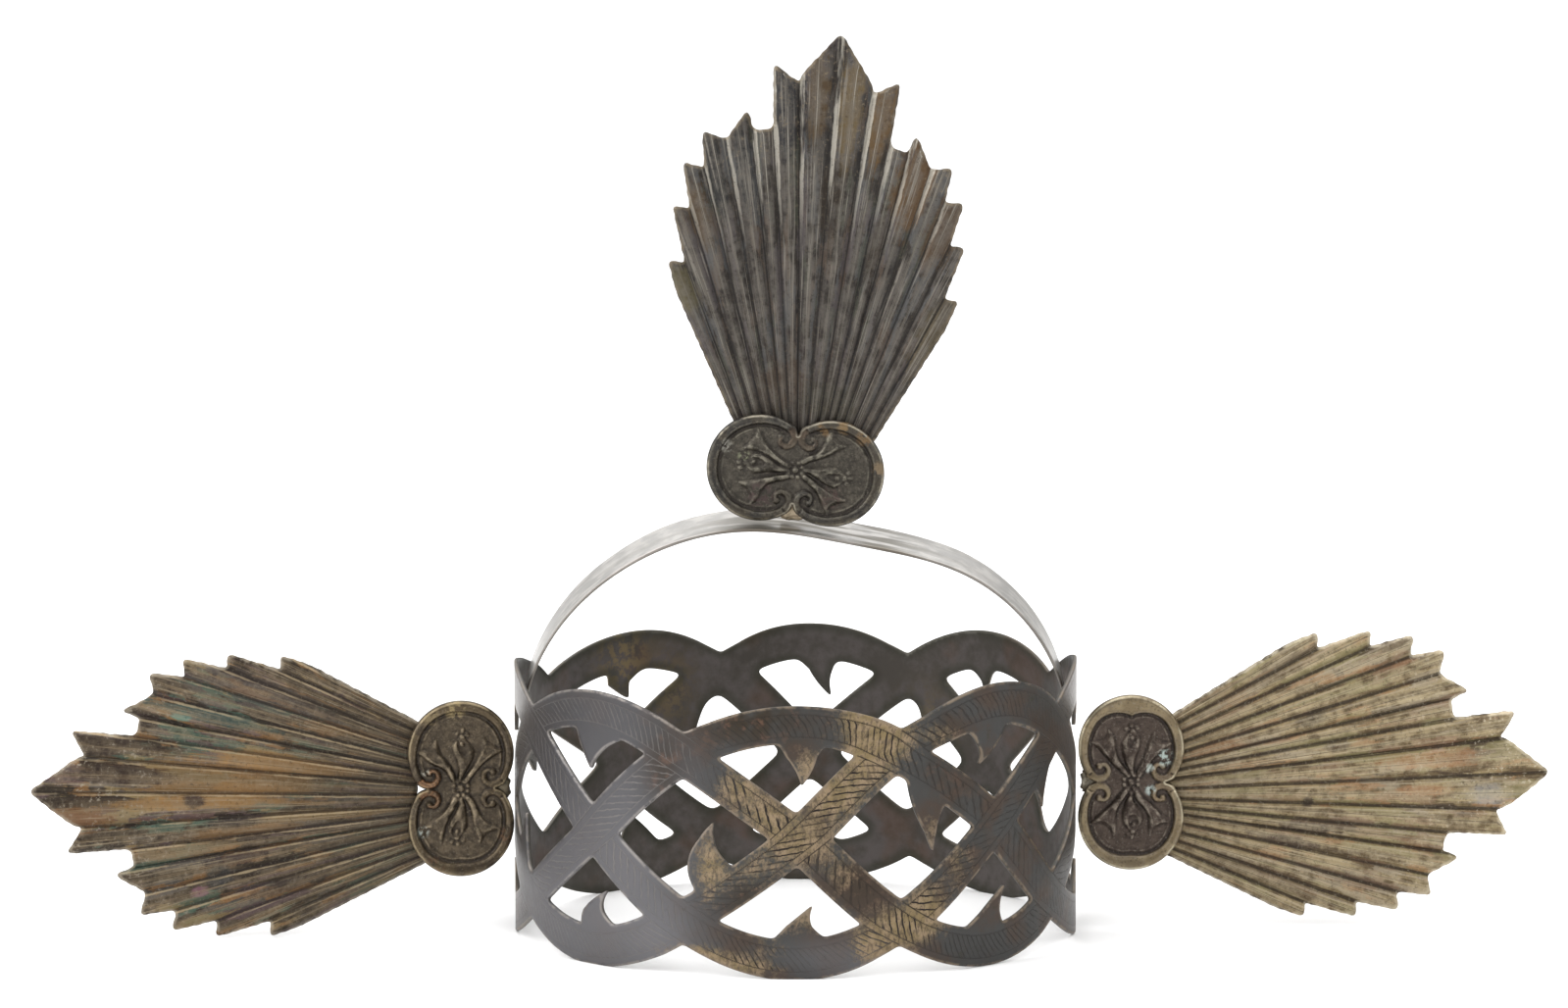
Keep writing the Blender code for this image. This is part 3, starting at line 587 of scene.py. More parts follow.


# Tones of the rays. Each stain has its threshold, strength and colour; each spot its degrees
# and distance out, half length, half width, strength and colour; the dirt at the foot where
# it starts to fade and ends, strength and colour; the fine scratches (hair) and the painted
# highlight on the crests of the flutes their strength and colour; the valley lines, dirt with
# painted shade, their half width, strength and colour; and the gleam beside a valley its
# distance from it, how much it widens outwards, where it starts as a share of the length,
# strength and colour. The ridge colour is wear with a painted highlight. The rim's colour,
# wear with a painted highlight along the cut edges, is also that of the flecks.
RAY_TONES = {
    "left": {
        "low": (0.026, 0.019, 0.012), "high": (0.112, 0.083, 0.055),
        "foot": (34, 62, 0.60, (0.050, 0.038, 0.024)), "hair": (0.50, (0.270, 0.215, 0.140)),
        "crest_highlight": (0.32, (0.250, 0.180, 0.100)),
        "stains": (
            (0.53, 0.75, (0.080, 0.072, 0.064)), (0.53, 0.85, (0.178, 0.092, 0.034)),
            (0.55, 0.80, (0.072, 0.046, 0.050)), (0.57, 0.85, (0.050, 0.088, 0.064)),
            (0.58, 0.70, (0.220, 0.160, 0.072)), (0.54, 0.92, (0.020, 0.013, 0.009))),
        "spots": (
            (2.0, 60, 22, 5.5, 0.70, (0.190, 0.108, 0.040)),
            (6.5, 50, 18, 2.2, 0.85, (0.270, 0.150, 0.056)),
            (-1.6, 66, 20, 1.3, 0.85, (0.250, 0.140, 0.052)),
            (-4.9, 42, 16, 1.2, 0.70, (0.240, 0.160, 0.070)),
            (-3.4, 88, 9, 3.0, 0.80, (0.150, 0.076, 0.032)),
            (-9.0, 70, 12, 1.8, 0.60, (0.200, 0.140, 0.072)),
            (-7.0, 58, 14, 1.2, 0.70, (0.180, 0.106, 0.048)),
            (6.1, 84, 12, 2.4, 0.92, (0.028, 0.018, 0.013)),
            (2.4, 80, 12, 2.2, 0.92, (0.028, 0.018, 0.014)),
            (16.0, 75, 5, 2.4, 0.90, (0.026, 0.018, 0.013)),
            (-11.6, 60, 9, 1.4, 0.85, (0.030, 0.020, 0.020)),
            (-19.0, 52, 10, 1.4, 0.70, (0.036, 0.026, 0.024)),
            (19.0, 56, 16, 3.4, 0.60, (0.062, 0.048, 0.044)),
            (-1.3, 67, 2.4, 1.6, 0.90, (0.026, 0.016, 0.016)),
            (-5.2, 60, 6, 1.5, 0.80, (0.030, 0.024, 0.022)),
            (-14.0, 64, 3.0, 2.6, 0.80, (0.034, 0.036, 0.034)),
            (-15.8, 68, 2.0, 1.3, 0.70, (0.190, 0.085, 0.120)),
            (11.8, 71, 2.4, 1.2, 0.75, (0.110, 0.210, 0.165)),
            (12.8, 66, 16, 1.5, 0.60, (0.060, 0.100, 0.088))),
        "ridge": (0.200, 0.156, 0.102), "ridge_share": 0.38,
        "valley": (0.42, 0.66, (0.020, 0.014, 0.010)),
        "beside": (-0.45, 0.05, 0.20, 0.60, (0.36, 0.28, 0.17)), "rim": (0.30, 0.26, 0.20)},
    "right": {
        "low": (0.096, 0.066, 0.034), "high": (0.288, 0.222, 0.118),
        "foot": (26, 50, 0.35, (0.110, 0.078, 0.044)), "hair": (0.40, (0.420, 0.355, 0.225)),
        "crest_highlight": (0.30, (0.430, 0.365, 0.240)),
        "stains": (
            (0.55, 0.60, (0.285, 0.240, 0.172)), (0.57, 0.60, (0.290, 0.150, 0.064)),
            (0.54, 0.70, (0.190, 0.165, 0.076)), (0.58, 0.60, (0.165, 0.092, 0.056)),
            (0.60, 0.85, (0.060, 0.040, 0.026))),
        "spots": (
            (-12.8, 52, 3.4, 1.9, 0.90, (0.062, 0.046, 0.028)),
            (-6.7, 55, 3.6, 1.0, 0.90, (0.060, 0.042, 0.026)),
            (9.3, 49, 6.5, 1.3, 0.90, (0.058, 0.040, 0.030)),
            (13.0, 45, 9.5, 1.2, 0.85, (0.062, 0.042, 0.034)),
            (22.0, 44, 17, 2.2, 0.75, (0.090, 0.060, 0.036)),
            (17.6, 60, 9, 1.4, 0.65, (0.100, 0.070, 0.050)),
            (-24.5, 50, 14, 1.6, 0.55, (0.110, 0.078, 0.044)),
            (3.8, 49, 1.3, 1.1, 0.90, (0.040, 0.028, 0.020)),
            (-2.6, 72, 12, 1.8, 0.60, (0.330, 0.165, 0.075)),
            (1.8, 70, 6, 1.2, 0.60, (0.360, 0.180, 0.085)),
            (-12.0, 33, 7, 1.5, 0.55, (0.260, 0.120, 0.055)),
            (2.4, 82, 5, 2.4, 0.60, (0.300, 0.290, 0.270))),
        "ridge": (0.400, 0.330, 0.215), "ridge_share": 0.40,
        "valley": (0.50, 0.88, (0.030, 0.021, 0.013)),
        "beside": (0.80, 0.05, 0.30, 0.25, (0.46, 0.40, 0.30)), "rim": (0.50, 0.44, 0.33)},
    "top": {
        "low": (0.023, 0.019, 0.016), "high": (0.066, 0.058, 0.051),
        "foot": (22, 48, 0.50, (0.044, 0.034, 0.025)), "hair": (0.60, (0.220, 0.200, 0.170)),
        "crest_highlight": (0.50, (0.180, 0.162, 0.135)),
        "stains": (
            (0.54, 0.70, (0.064, 0.066, 0.067)), (0.57, 0.60, (0.082, 0.058, 0.042)),
            (0.57, 0.60, (0.068, 0.058, 0.060)), (0.60, 0.55, (0.050, 0.054, 0.038)),
            (0.58, 0.90, (0.018, 0.016, 0.015))),
        "spots": (
            (2.0, 84, 13, 2.6, 0.85, (0.124, 0.086, 0.038)),
            (-2.2, 86, 11, 2.4, 0.80, (0.078, 0.050, 0.024)),
            (6.0, 82, 10, 2.4, 0.85, (0.110, 0.066, 0.028)),
            (12.4, 72, 11, 4.4, 0.85, (0.094, 0.055, 0.026)),
            (19.0, 66, 9, 4.0, 0.70, (0.075, 0.047, 0.026)),
            (26.0, 48, 10, 3.0, 0.60, (0.085, 0.066, 0.036)),
            (-6.0, 84, 13, 2.4, 0.90, (0.018, 0.019, 0.022)),
            (-12.2, 72, 10, 1.8, 0.85, (0.020, 0.021, 0.023)),
            (-16.4, 72, 10, 2.0, 0.85, (0.022, 0.022, 0.022)),
            (0.4, 66, 10, 2.6, 0.75, (0.026, 0.019, 0.013)),
            (9.2, 60, 8, 2.0, 0.70, (0.030, 0.022, 0.015)),
            (-20.0, 66, 8, 2.4, 0.70, (0.080, 0.052, 0.028)),
            (-26.0, 54, 6, 2.4, 0.70, (0.100, 0.084, 0.044)),
            (-9.0, 33, 5, 5.0, 0.55, (0.072, 0.048, 0.032)),
            (8.0, 30, 4, 7.0, 0.60, (0.034, 0.036, 0.024))),
        "ridge": (0.135, 0.121, 0.104), "ridge_share": 0.42,
        "valley": (0.24, 0.75, (0.016, 0.014, 0.013)),
        "beside": (0.36, 0.34, 0.56, 0.72, (0.44, 0.41, 0.35)), "rim": (0.19, 0.150, 0.10)},
}


def cartouche_finish(side):
    """Embossed silver: dirt and painted shade in its hollows, worn ridges with a painted highlight,
    and a painted highlight along its edge.
    """
    finish = Finish("embossed_silver_" + side, 0.74, 0.42)
    hollow, rim, scroll = finish.parts(finish.trait("relief", "Vector"))
    across, out, inward = finish.parts(finish.trait("spot", "Vector"))
    place = finish.place()
    cloud = finish.grain(place, 4.5 * MM, 3.0)
    mottle = finish.grain(place, 1.4 * MM, 5.0, 0.65)
    speck = finish.grain(place, 0.4 * MM, 3.0, 0.6)
    tones = CARTOUCHE_TONES[side]
    finish.skin = finish.mix(finish.step(mottle, 0.38, 0.64), tones["field"], tones["field_light"])
    rim_tone = finish.mix(finish.step(cloud, 0.40, 0.60), tones["rim"], tones["rim_second"])
    finish.lay(rim, rim_tone)
    outer = finish.step(out, 1.0, 3.0) * scroll * tones["scroll_share"]
    finish.lay(outer * finish.step(mottle, 0.30, 0.5), tones["scroll"])
    # Dirt and painted shade in the hollows.
    finish.lay(finish.step(hollow, 0.53, 0.80) * 0.75, DARK_SCRATCH_AND_SHADE)
    # Worn ridges with a painted highlight.
    ridge = finish.fade(hollow, 0.28, 0.47)
    rubbed_and_highlit = finish.step(mottle, 0.36, 0.62) * (1 - rim * 0.6) * tones["rub_and_highlight"]
    finish.lay(ridge * rubbed_and_highlit, tones["ridge"])
    finish.lay(finish.step(cloud, 0.50, 0.64) * 0.45, tones["field"])
    # Painted highlight along the outer edge.
    border = finish.fade(abs(inward - 0.30), 0.06, 0.26)
    finish.lay(border * finish.step(cloud, 0.40, 0.56) * 0.8, tones["border"])
    lines = finish.maths("SINE", inward * 9.5) * scroll * tones["scroll_share"]
    finish.lay(finish.step(lines, 0.45, 0.9) * 0.5, DARK_SCRATCH_AND_SHADE)
    for spot_across, spot_out, reach, colour in tones["spots"]:
        away = finish.length(out - spot_out, across - spot_across)
        share = finish.fade(away, reach * 0.4, reach) * finish.step(mottle, 0.46, 0.54)
        finish.lay(share * 0.85, colour)
    finish.lay(finish.fade(speck, 0.34, 0.44) * 0.45, DARK_SCRATCH_AND_SHADE)
    finish.lay(finish.step(speck, 0.58, 0.68) * 0.45, tones["fleck"])
    finish.set("Base Color", finish.skin)
    finish.set("Roughness", mottle * 0.25 + 0.24)
    finish.relief(mottle * 0.6 + speck * 0.4, 0.00018)
    return finish.material


# Tones of the cartouches. Each spot has its place across and outwards, its reach and colour.
# The border colour is a painted highlight along the edge; the ridge colour is wear with a painted
# highlight.
CARTOUCHE_TONES = {
    "left": {
        "field": (0.046, 0.035, 0.023), "field_light": (0.104, 0.079, 0.051),
        "rim": (0.044, 0.032, 0.020), "rim_second": (0.092, 0.066, 0.036),
        "scroll": (0.185, 0.082, 0.034), "scroll_share": 0.95, "border": (0.270, 0.215, 0.130),
        "ridge": (0.290, 0.232, 0.155), "rub_and_highlight": 0.7, "fleck": (0.20, 0.165, 0.12),
        "spots": (
            (-8.0, 7.0, 1.4, (0.36, 0.40, 0.36)), (3.2, 6.6, 1.0, (0.42, 0.40, 0.33)),
            (14.6, 1.0, 2.4, (0.26, 0.20, 0.10)), (13.4, 5.4, 2.0, (0.20, 0.155, 0.085)),
            (-14.4, 5.0, 2.4, (0.115, 0.062, 0.034)), (-9.0, -8.6, 2.2, (0.110, 0.064, 0.036)))},
    "right": {
        "field": (0.046, 0.033, 0.026), "field_light": (0.080, 0.060, 0.047),
        "rim": (0.160, 0.122, 0.070), "rim_second": (0.235, 0.185, 0.110),
        "scroll": (0.150, 0.094, 0.056), "scroll_share": 0.5, "border": (0.460, 0.410, 0.290),
        "ridge": (0.290, 0.250, 0.200), "rub_and_highlight": 0.6, "fleck": (0.20, 0.18, 0.15),
        "spots": (
            (-4.6, 6.2, 2.0, (0.42, 0.50, 0.46)), (1.5, 3.6, 1.3, (0.40, 0.46, 0.43)),
            (-2.6, 3.4, 1.2, (0.44, 0.48, 0.44)))},
    "top": {
        "field": (0.040, 0.035, 0.028), "field_light": (0.080, 0.070, 0.055),
        "rim": (0.034, 0.031, 0.028), "rim_second": (0.060, 0.050, 0.037),
        "scroll": (0.090, 0.056, 0.034), "scroll_share": 0.5, "border": (0.300, 0.270, 0.210),
        "ridge": (0.250, 0.230, 0.180), "rub_and_highlight": 0.65, "fleck": (0.15, 0.135, 0.10),
        "spots": (
            (-13.0, 3.4, 1.6, (0.24, 0.23, 0.20)), (-9.6, 1.8, 1.4, (0.24, 0.25, 0.16)),
            (4.6, 8.0, 1.8, (0.160, 0.098, 0.046)), (8.4, 8.8, 2.0, (0.190, 0.125, 0.060)),
            (12.0, 7.0, 2.0, (0.150, 0.095, 0.046)), (15.2, 1.6, 1.8, (0.190, 0.140, 0.085)),
            (-6.0, -5.0, 3.4, (0.060, 0.040, 0.038)), (7.0, -4.6, 3.0, (0.062, 0.042, 0.036)))},
}


def arch_finish():
    """Plain bright sheet silver, satin, with fine scratches along it, and painted reflections: dark
    streaks near the apex and duller bands.
    """
    finish = Finish("satin_silver", 0.85, 0.3)
    across, along, edge = finish.parts(finish.trait("strip", "Vector"))
    scratch = finish.grain(finish.vector(across * 0.06, along * 4.0, 2.0), 1.0, 4.0, 0.6)
    band_of_light = finish.grain(finish.vector(across * 0.045, along * 0.30, 6.0), 1.0, 3.0, 0.5)
    mottle = finish.grain(finish.place(), 4.0 * MM, 4.0, 0.6)
    finish.skin = finish.mix(finish.step(mottle, 0.40, 0.62), SATIN_SILVER, BRIGHT_SILVER)
    # Painted reflections: dark streaks near the apex and duller bands along the strip.
    apex = finish.fade(abs(across - 4.0), 10.0, 26.0)
    finish.lay(finish.step(band_of_light, 0.42, 0.56) * apex * 0.95, APEX_DARK_REFLECTION)
    finish.lay(finish.step(band_of_light, 0.50, 0.66) * 0.35, DULL_SILVER)
    finish.lay(finish.step(scratch, 0.58, 0.70) * 0.35, SCRATCHED_SILVER)
    finish.lay(finish.fade(edge, 0.0, 0.35) * 0.75, EDGE_GRIME)
    finish.set("Base Color", finish.skin)
    finish.set("Roughness", mottle * 0.15 + scratch * 0.15 + 0.18)
    finish.relief(scratch * 0.5 + mottle * 0.5, 0.00008)
    return finish.material


def solder_finish(side):
    """Lumpy solder, brown and dull with brighter knobs."""
    finish = Finish("solder_" + side, 0.7, 0.45)
    place = finish.place()
    cloud = finish.grain(place, 2.5 * MM, 3.0)
    mottle = finish.grain(place, 0.9 * MM, 4.0, 0.6)
    low, high = SOLDER_TONES[side]
    finish.skin = finish.mix(finish.step(cloud, 0.40, 0.60), low, high)
    finish.lay(finish.step(mottle, 0.58, 0.72) * 0.5, DARK_SCRATCH_AND_SHADE)
    finish.set("Base Color", finish.skin)
    finish.set("Roughness", mottle * 0.3 + 0.25)
    finish.relief(mottle, 0.0002)
    return finish.material


SOLDER_TONES = {
    "left": ((0.060, 0.056, 0.036), (0.14, 0.115, 0.075)),
    "right": ((0.15, 0.125, 0.085), (0.44, 0.40, 0.32)),
    "top": ((0.20, 0.155, 0.095), (0.50, 0.41, 0.29)),
}


# Meshes

def make_piece(name, points, faces, material, traits):
    """Smooth-shaded object from points in mm, with values carried by its points."""
    mesh = bpy.data.meshes.new(name)
    mesh.from_pydata((np.asarray(points) * MM).tolist(), [], faces)
    shell = bmesh.new()
    shell.from_mesh(mesh)
    bmesh.ops.recalc_face_normals(shell, faces=shell.faces)
    shell.to_mesh(mesh)
    shell.free()
    for trait, values in traits.items():
        values = np.asarray(values, dtype=np.float32)
        wide = values.ndim == 2
        layer = mesh.attributes.new(trait, "FLOAT_VECTOR" if wide else "FLOAT", "POINT")
        layer.data.foreach_set("vector" if wide else "value", values.ravel())
    mesh.materials.append(material)
    mesh.shade_smooth()
    piece = bpy.data.objects.new(name, mesh)
    bpy.context.scene.collection.objects.link(piece)
    return piece


def stand_in(piece, node):
    """Shows a piece in place of one node of the part."""
    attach(piece, "root")
    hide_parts(node)


def side_by_side(*parts):
    """Table whose columns are these parts; a single number fills its column."""
    return np.stack(np.broadcast_arrays(*parts), axis=-1)


def polar(middle, reach, turn):
    """Places at these distances and directions from a middle."""
    return side_by_side(reach * np.cos(turn), reach * np.sin(turn)) + middle


def standing(flat, depth):
    """Points of a plane stood upright, so far back."""
    return side_by_side(flat[:, 0], depth, flat[:, 1])


def evenly(loop, spacing):
    """Closed loop with points at an even spacing."""
    closed = np.vstack([loop, loop[:1]])
    lengths = np.hypot(*np.diff(closed, axis=0).T)
    along = np.concatenate([[0.0], np.cumsum(lengths)])
    count = max(int(round(along[-1] / spacing)), 8)
    marks = np.arange(count) * along[-1] / count
    return side_by_side(*[np.interp(marks, along, ordinate) for ordinate in closed.T])


def worn_round(loop, rounds, held):
    """Loop with its corners worn round, less so where held nears 1."""
    give = 0.5 * (1 - held)[:, None]
    for _ in range(rounds):
        middle = (np.roll(loop, 1, axis=0) + np.roll(loop, -1, axis=0)) / 2
        loop = loop + (middle - loop) * give
    return loop


def pushed_out(loop, amount):
    """Closed loop with its points moved outwards, or inwards where amount is below 0."""
    ahead = np.roll(loop, -1, axis=0) - np.roll(loop, 1, axis=0)
    ahead /= np.maximum(np.hypot(*ahead.T), 1e-9)[:, None]
    outwards = side_by_side(ahead[:, 1], -ahead[:, 0]) * np.sign(signed_area(loop))
    return loop + outwards * amount


def signed_area(loop):
    """Area of a closed loop, above 0 where it runs anticlockwise."""
    following = np.roll(loop, -1, axis=0)
    return (loop[:, 0] * following[:, 1] - following[:, 0] * loop[:, 1]).sum() / 2


def within(points, loop):
    """Whether points lie in a closed loop, by counting its edges to their right."""
    inside = np.zeros(len(points), dtype=bool)
    for start, end in zip(loop, np.roll(loop, -1, axis=0)):
        crosses = (start[1] > points[:, 1]) != (end[1] > points[:, 1])
        if not crosses.any():
            continue
        share = (points[:, 1] - start[1]) / (end[1] - start[1])
        inside ^= crosses & (points[:, 0] < start[0] + share * (end[0] - start[0]))
    return inside


def fill(loops, inner):
    """Triangles of the sheet between closed loops, through the inner points."""
    points = [Vector(point) for point in np.concatenate(loops + [inner]).tolist()]
    edges = []
    start = 0
    for loop in loops:
        count = len(loop)
        edges += [(start + i, start + (i + 1) % count) for i in range(count)]
        start += count
    _, _, faces, source, _, _ = delaunay_2d_cdt(points, edges, [], 0, 1e-8)
    triangles = [tuple(source[i][0] for i in face) for face in faces]
    cuts = {frozenset(edge) for edge in edges}
    beside = {}
    for number, triangle in enumerate(triangles):
        for i in range(3):
            beside.setdefault(frozenset((triangle[i], triangle[i - 1])), []).append(number)
    waiting = []
    for number, triangle in enumerate(triangles):
        if max(triangle) >= start if len(inner) else middle_within(triangle, loops[0]):
            waiting.append(number)
    kept = set(waiting)
    while waiting:
        triangle = triangles[waiting.pop()]
        for i in range(3):
            edge = frozenset((triangle[i], triangle[i - 1]))
            if edge in cuts:
                continue
            for other in beside[edge]:
                if other not in kept:
                    kept.add(other)
                    waiting.append(other)
    return [triangles[number] for number in sorted(kept)]


def middle_within(triangle, loop):
    """Whether the middle of a triangle lies inside its loop."""
    return within(loop[list(triangle)].mean(axis=0)[None], loop)[0]


def joined(first, second, count):
    """Quads between two closed loops of points that start at these numbers."""
    quads = []
    for i in range(count):
        j = (i + 1) % count
        quads.append((first + i, first + j, second + j, second + i))
    return quads


def sheet_shell(triangles, loops, grid_edge):
    """Faces of a sheet's four layers, and the distance of all its points from an edge.

    The outer layers hold the outlines and then the inner points. The two layers between
    them, which round the edges off, hold only the outlines.
    """
    outline = sum(len(loop) for loop in loops)
    whole = outline + len(grid_edge)
    firsts = (0, whole, whole + outline, whole + 2 * outline)
    faces = triangles + [tuple(firsts[3] + i for i in triangle) for triangle in triangles]
    start = 0
    for loop in loops:
        for upper, lower in zip(firsts, firsts[1:]):
            faces += joined(upper + start, lower + start, len(loop))
        start += len(loop)
    face_edge = np.concatenate([np.zeros(outline), grid_edge])
    return faces, np.concatenate([face_edge, np.zeros(2 * outline), face_edge])


def distances(points, others):
    """Distance from each point to the nearest of the others."""
    tree = KDTree(len(others))
    for number, point in enumerate(others.tolist()):
        tree.insert(point, number)
    tree.balance()
    return np.array([tree.find(point)[2] for point in points.tolist()])


def clear_inside(grid, loop, gap):
    """Points of a grid inside a loop and further than gap from it, and how far they are."""
    grid = grid[within(grid, loop)]
    away = distances(standing(grid, 0.0), standing(loop, 0.0))
    clear = away > gap
    return grid[clear], away[clear]


# The band's pattern

def strand_edge(angle, strand, side):
    """Height of a strand's upper (side 1) or lower (side -1) edge on the even pattern."""
    phase = WAVES * angle - strand * math.tau / STRANDS
    slope = STRAND_SWING * WAVES / BAND_RADIUS * np.sin(phase)
    centre = BAND_MIDDLE + STRAND_SWING * np.cos(phase)
    return centre + side * STRAND_WIDTH / 2 * np.hypot(1, slope)


def hole_ceiling(angle, strands):
    return np.minimum.reduce([strand_edge(angle, strand, -1) for strand in strands])


def hole_floor(angle, strands):
    return np.maximum.reduce([strand_edge(angle, strand, 1) for strand in strands])


def drifted(angle, height):
    """Place on the real, hand-cut sheet of points of the even pattern."""
    rows = np.array([
        LOW_LOBE_DRIFT, LOWER_CROSS_DRIFT, MID_CROSS_DRIFT, UPPER_CROSS_DRIFT, TOP_LOBE_DRIFT])
    starts = np.array([0.0, 0.5, 0.0, 0.5, 0.0])
    crossing = math.sqrt(0.5)
    levels = BAND_MIDDLE + STRAND_SWING * np.array([-1.0, -crossing, 0.0, crossing, 1.0])
    level = np.interp(height, levels, np.arange(5.0))
    lower = np.minimum(level.astype(int), 3)

    def row_drift(row):
        spot = angle / LOBE_ANGLE - starts[row]
        first = np.floor(spot).astype(int)
        share = (np.sin((spot - first) * math.pi / 2) ** 2)[:, None]
        return rows[row, first % LOBES] * (1 - share) + rows[row, (first + 1) % LOBES] * share

    share = (level - lower)[:, None]
    drift = row_drift(lower) * (1 - share) + row_drift(lower + 1) * share
    return angle + drift[:, 0] / BAND_RADIUS, height + drift[:, 1]


def hole_reach(centre, ceiling, floor):
    """Angle from a hole's centre to the corner where its ceiling meets its floor."""
    angles = centre + np.linspace(0.0, LOBE_ANGLE, 4000)
    closed = hole_ceiling(angles, ceiling) <= hole_floor(angles, floor)
    return angles[np.argmax(closed)] - centre


def bowed_side(start, end, bow):
    """Points from start to end on a curve whose middle is pushed sideways by bow."""
    start = np.array(start)
    end = np.array(end)
    control = (start + end) / 2 + np.array([bow, 0.0])
    t = np.linspace(0.0, 1.0, 16)[:, None]
    return (1 - t) ** 2 * start + 2 * t * (1 - t) * control + t ** 2 * end


def edge_with_thorn(edge, centre, reach, height, thorn, direction):
    """Edge of a hole from left to right with its thorn, and the tip of the thorn."""
    angles = centre + reach * np.linspace(-1.0, 1.0, 90)
    points = side_by_side(angles, edge(angles))
    if thorn is None:
        return points, None
    base, width, lean, rise, left_bow, right_bow = thorn
    ends = centre + reach * np.array([base - width / 2, base + width / 2])
    levels = edge(ends)
    tip = (centre + reach * (base + lean), levels.mean() + direction * rise * height)
    left = bowed_side((ends[0], levels[0]), tip, left_bow * reach)
    right = bowed_side(tip, (ends[1], levels[1]), -right_bow * reach)
    before = points[angles < ends[0]]
    after = points[angles > ends[1]]
    return np.vstack([before, left, right[1:], after]), tip


def hole_loop(centre, ceiling, floor, ceiling_thorn, floor_thorn):
    """Outline of one hole in (mm round the band, mm up), with worn corners."""
    reach = hole_reach(centre, ceiling, floor)
    middle = np.array([centre])
    height = (hole_ceiling(middle, ceiling) - hole_floor(middle, floor))[0]
    top, top_tip = edge_with_thorn(
        lambda angle: hole_ceiling(angle, ceiling), centre, reach, height, ceiling_thorn, -1)
    bottom, low_tip = edge_with_thorn(
        lambda angle: hole_floor(angle, floor), centre, reach, height, floor_thorn, 1)
    loop = np.vstack([top, bottom[::-1]]) * (BAND_RADIUS, 1.0)
    loop = evenly(loop, EDGE_STEP)
    held = np.zeros(len(loop))
    for tip in (top_tip, low_tip):
        if tip is not None:
            away = np.hypot(loop[:, 0] - tip[0] * BAND_RADIUS, loop[:, 1] - tip[1])
            held = np.maximum(held, TIP_HOLD * np.exp(-(away / TIP_REACH) ** 2))
    at_back = math.cos(centre) < -0.3
    return evenly(worn_round(loop, BACK_WEAR if at_back else CORNER_WEAR, held), EDGE_STEP)


def hole_loops():
    """Outlines of the eight top holes, eight diamonds and eight bottom holes."""
    loops = []
    for lobe in range(LOBES):
        centre = lobe * LOBE_ANGLE
        over, rising, under, falling = [(lobe + step) % STRANDS for step in range(STRANDS)]
        loops.append(hole_loop(centre, (over,), (rising, falling), TOP_THORNS[lobe], None))
        loops.append(hole_loop(centre, (rising, falling), (under,), None, LOW_THORNS[lobe]))
        grows_from, *thorn = DIAMOND_THORNS[lobe]
        thorns = (thorn, None) if grows_from == "ceiling" else (None, thorn)
        loops.append(hole_loop(
            centre + LOBE_ANGLE / 2, (over, rising), (under, falling), *thorns))
    return loops


def rim_loop(side):
    """Scalloped upper (side 1) or lower (side -1) rim, in (mm round the band, mm up)."""
    count = int(math.tau * BAND_RADIUS / EDGE_STEP)
    angles = np.arange(count) * math.tau / count
    pick = np.maximum if side > 0 else np.minimum
    levels = pick.reduce([strand_edge(angles, strand, side) for strand in range(STRANDS)])
    for _ in range(RIM_WEAR):
        levels = levels * 0.5 + (np.roll(levels, 1) + np.roll(levels, -1)) * 0.25
    return side_by_side(angles * BAND_RADIUS, levels)


def rolled_flat(points):
    """The band as a flat ring, which keeps its angles: the lower rim is the inner edge."""
    reach = BAND_RADIUS * np.exp(points[:, 1] / BAND_RADIUS)
    return polar((0.0, 0.0), reach, points[:, 0] / BAND_RADIUS)


def soft_patches(degrees, height, patches):
    """Strength from 0 to 1 of soft patches at points of the band."""
    left = np.ones(len(height))
    for place, level, reach, rise, strength in patches:
        away = (degrees - place + 180) % 360 - 180
        left *= 1 - strength * np.exp(-(away / reach) ** 2 - ((height - level) / rise) ** 2)
    return 1 - left


def skin_points(holes, rims, outline):
    """Evenly spread points of the sheet, clear of its outlines, and their distance from them."""
    whole_turn = math.tau * BAND_RADIUS
    row_step = SKIN_STEP * math.sqrt(0.75)
    spots = int(whole_turn / SKIN_STEP)
    rows = []
    for row in range(int(BAND_HEIGHT / row_step)):
        round_band = (np.arange(spots) + (row % 2) / 2) * whole_turn / spots
        rows.append(side_by_side(round_band, row * row_step))
    grid = np.concatenate(rows)
    low, high = [np.interp(grid[:, 0], rim[:, 0], rim[:, 1]) for rim in rims]
    keep = (grid[:, 1] > low) & (grid[:, 1] < high)
    for hole in holes:
        middle = hole[:, 0].mean()
        near = grid.copy()
        near[:, 0] = (grid[:, 0] - middle + whole_turn / 2) % whole_turn - whole_turn / 2 + middle
        box = (near > hole.min(axis=0)) & (near < hole.max(axis=0))
        chosen = np.flatnonzero(box.all(axis=1) & keep)
        keep[chosen[within(near[chosen], hole)]] = False
    grid = grid[keep]
    away = distances(*[
        on_cylinder(flat[:, 0] / BAND_RADIUS, BAND_RADIUS, flat[:, 1]) for flat in (grid, outline)])
    clear = away > SKIN_STEP * CLEAR_SHARE
    return grid[clear], away[clear]


def on_cylinder(turn, radius, height):
    """Points at these turns round the band, distances from its axis, and heights."""
    return side_by_side(radius * np.sin(turn), -radius * np.cos(turn), height)


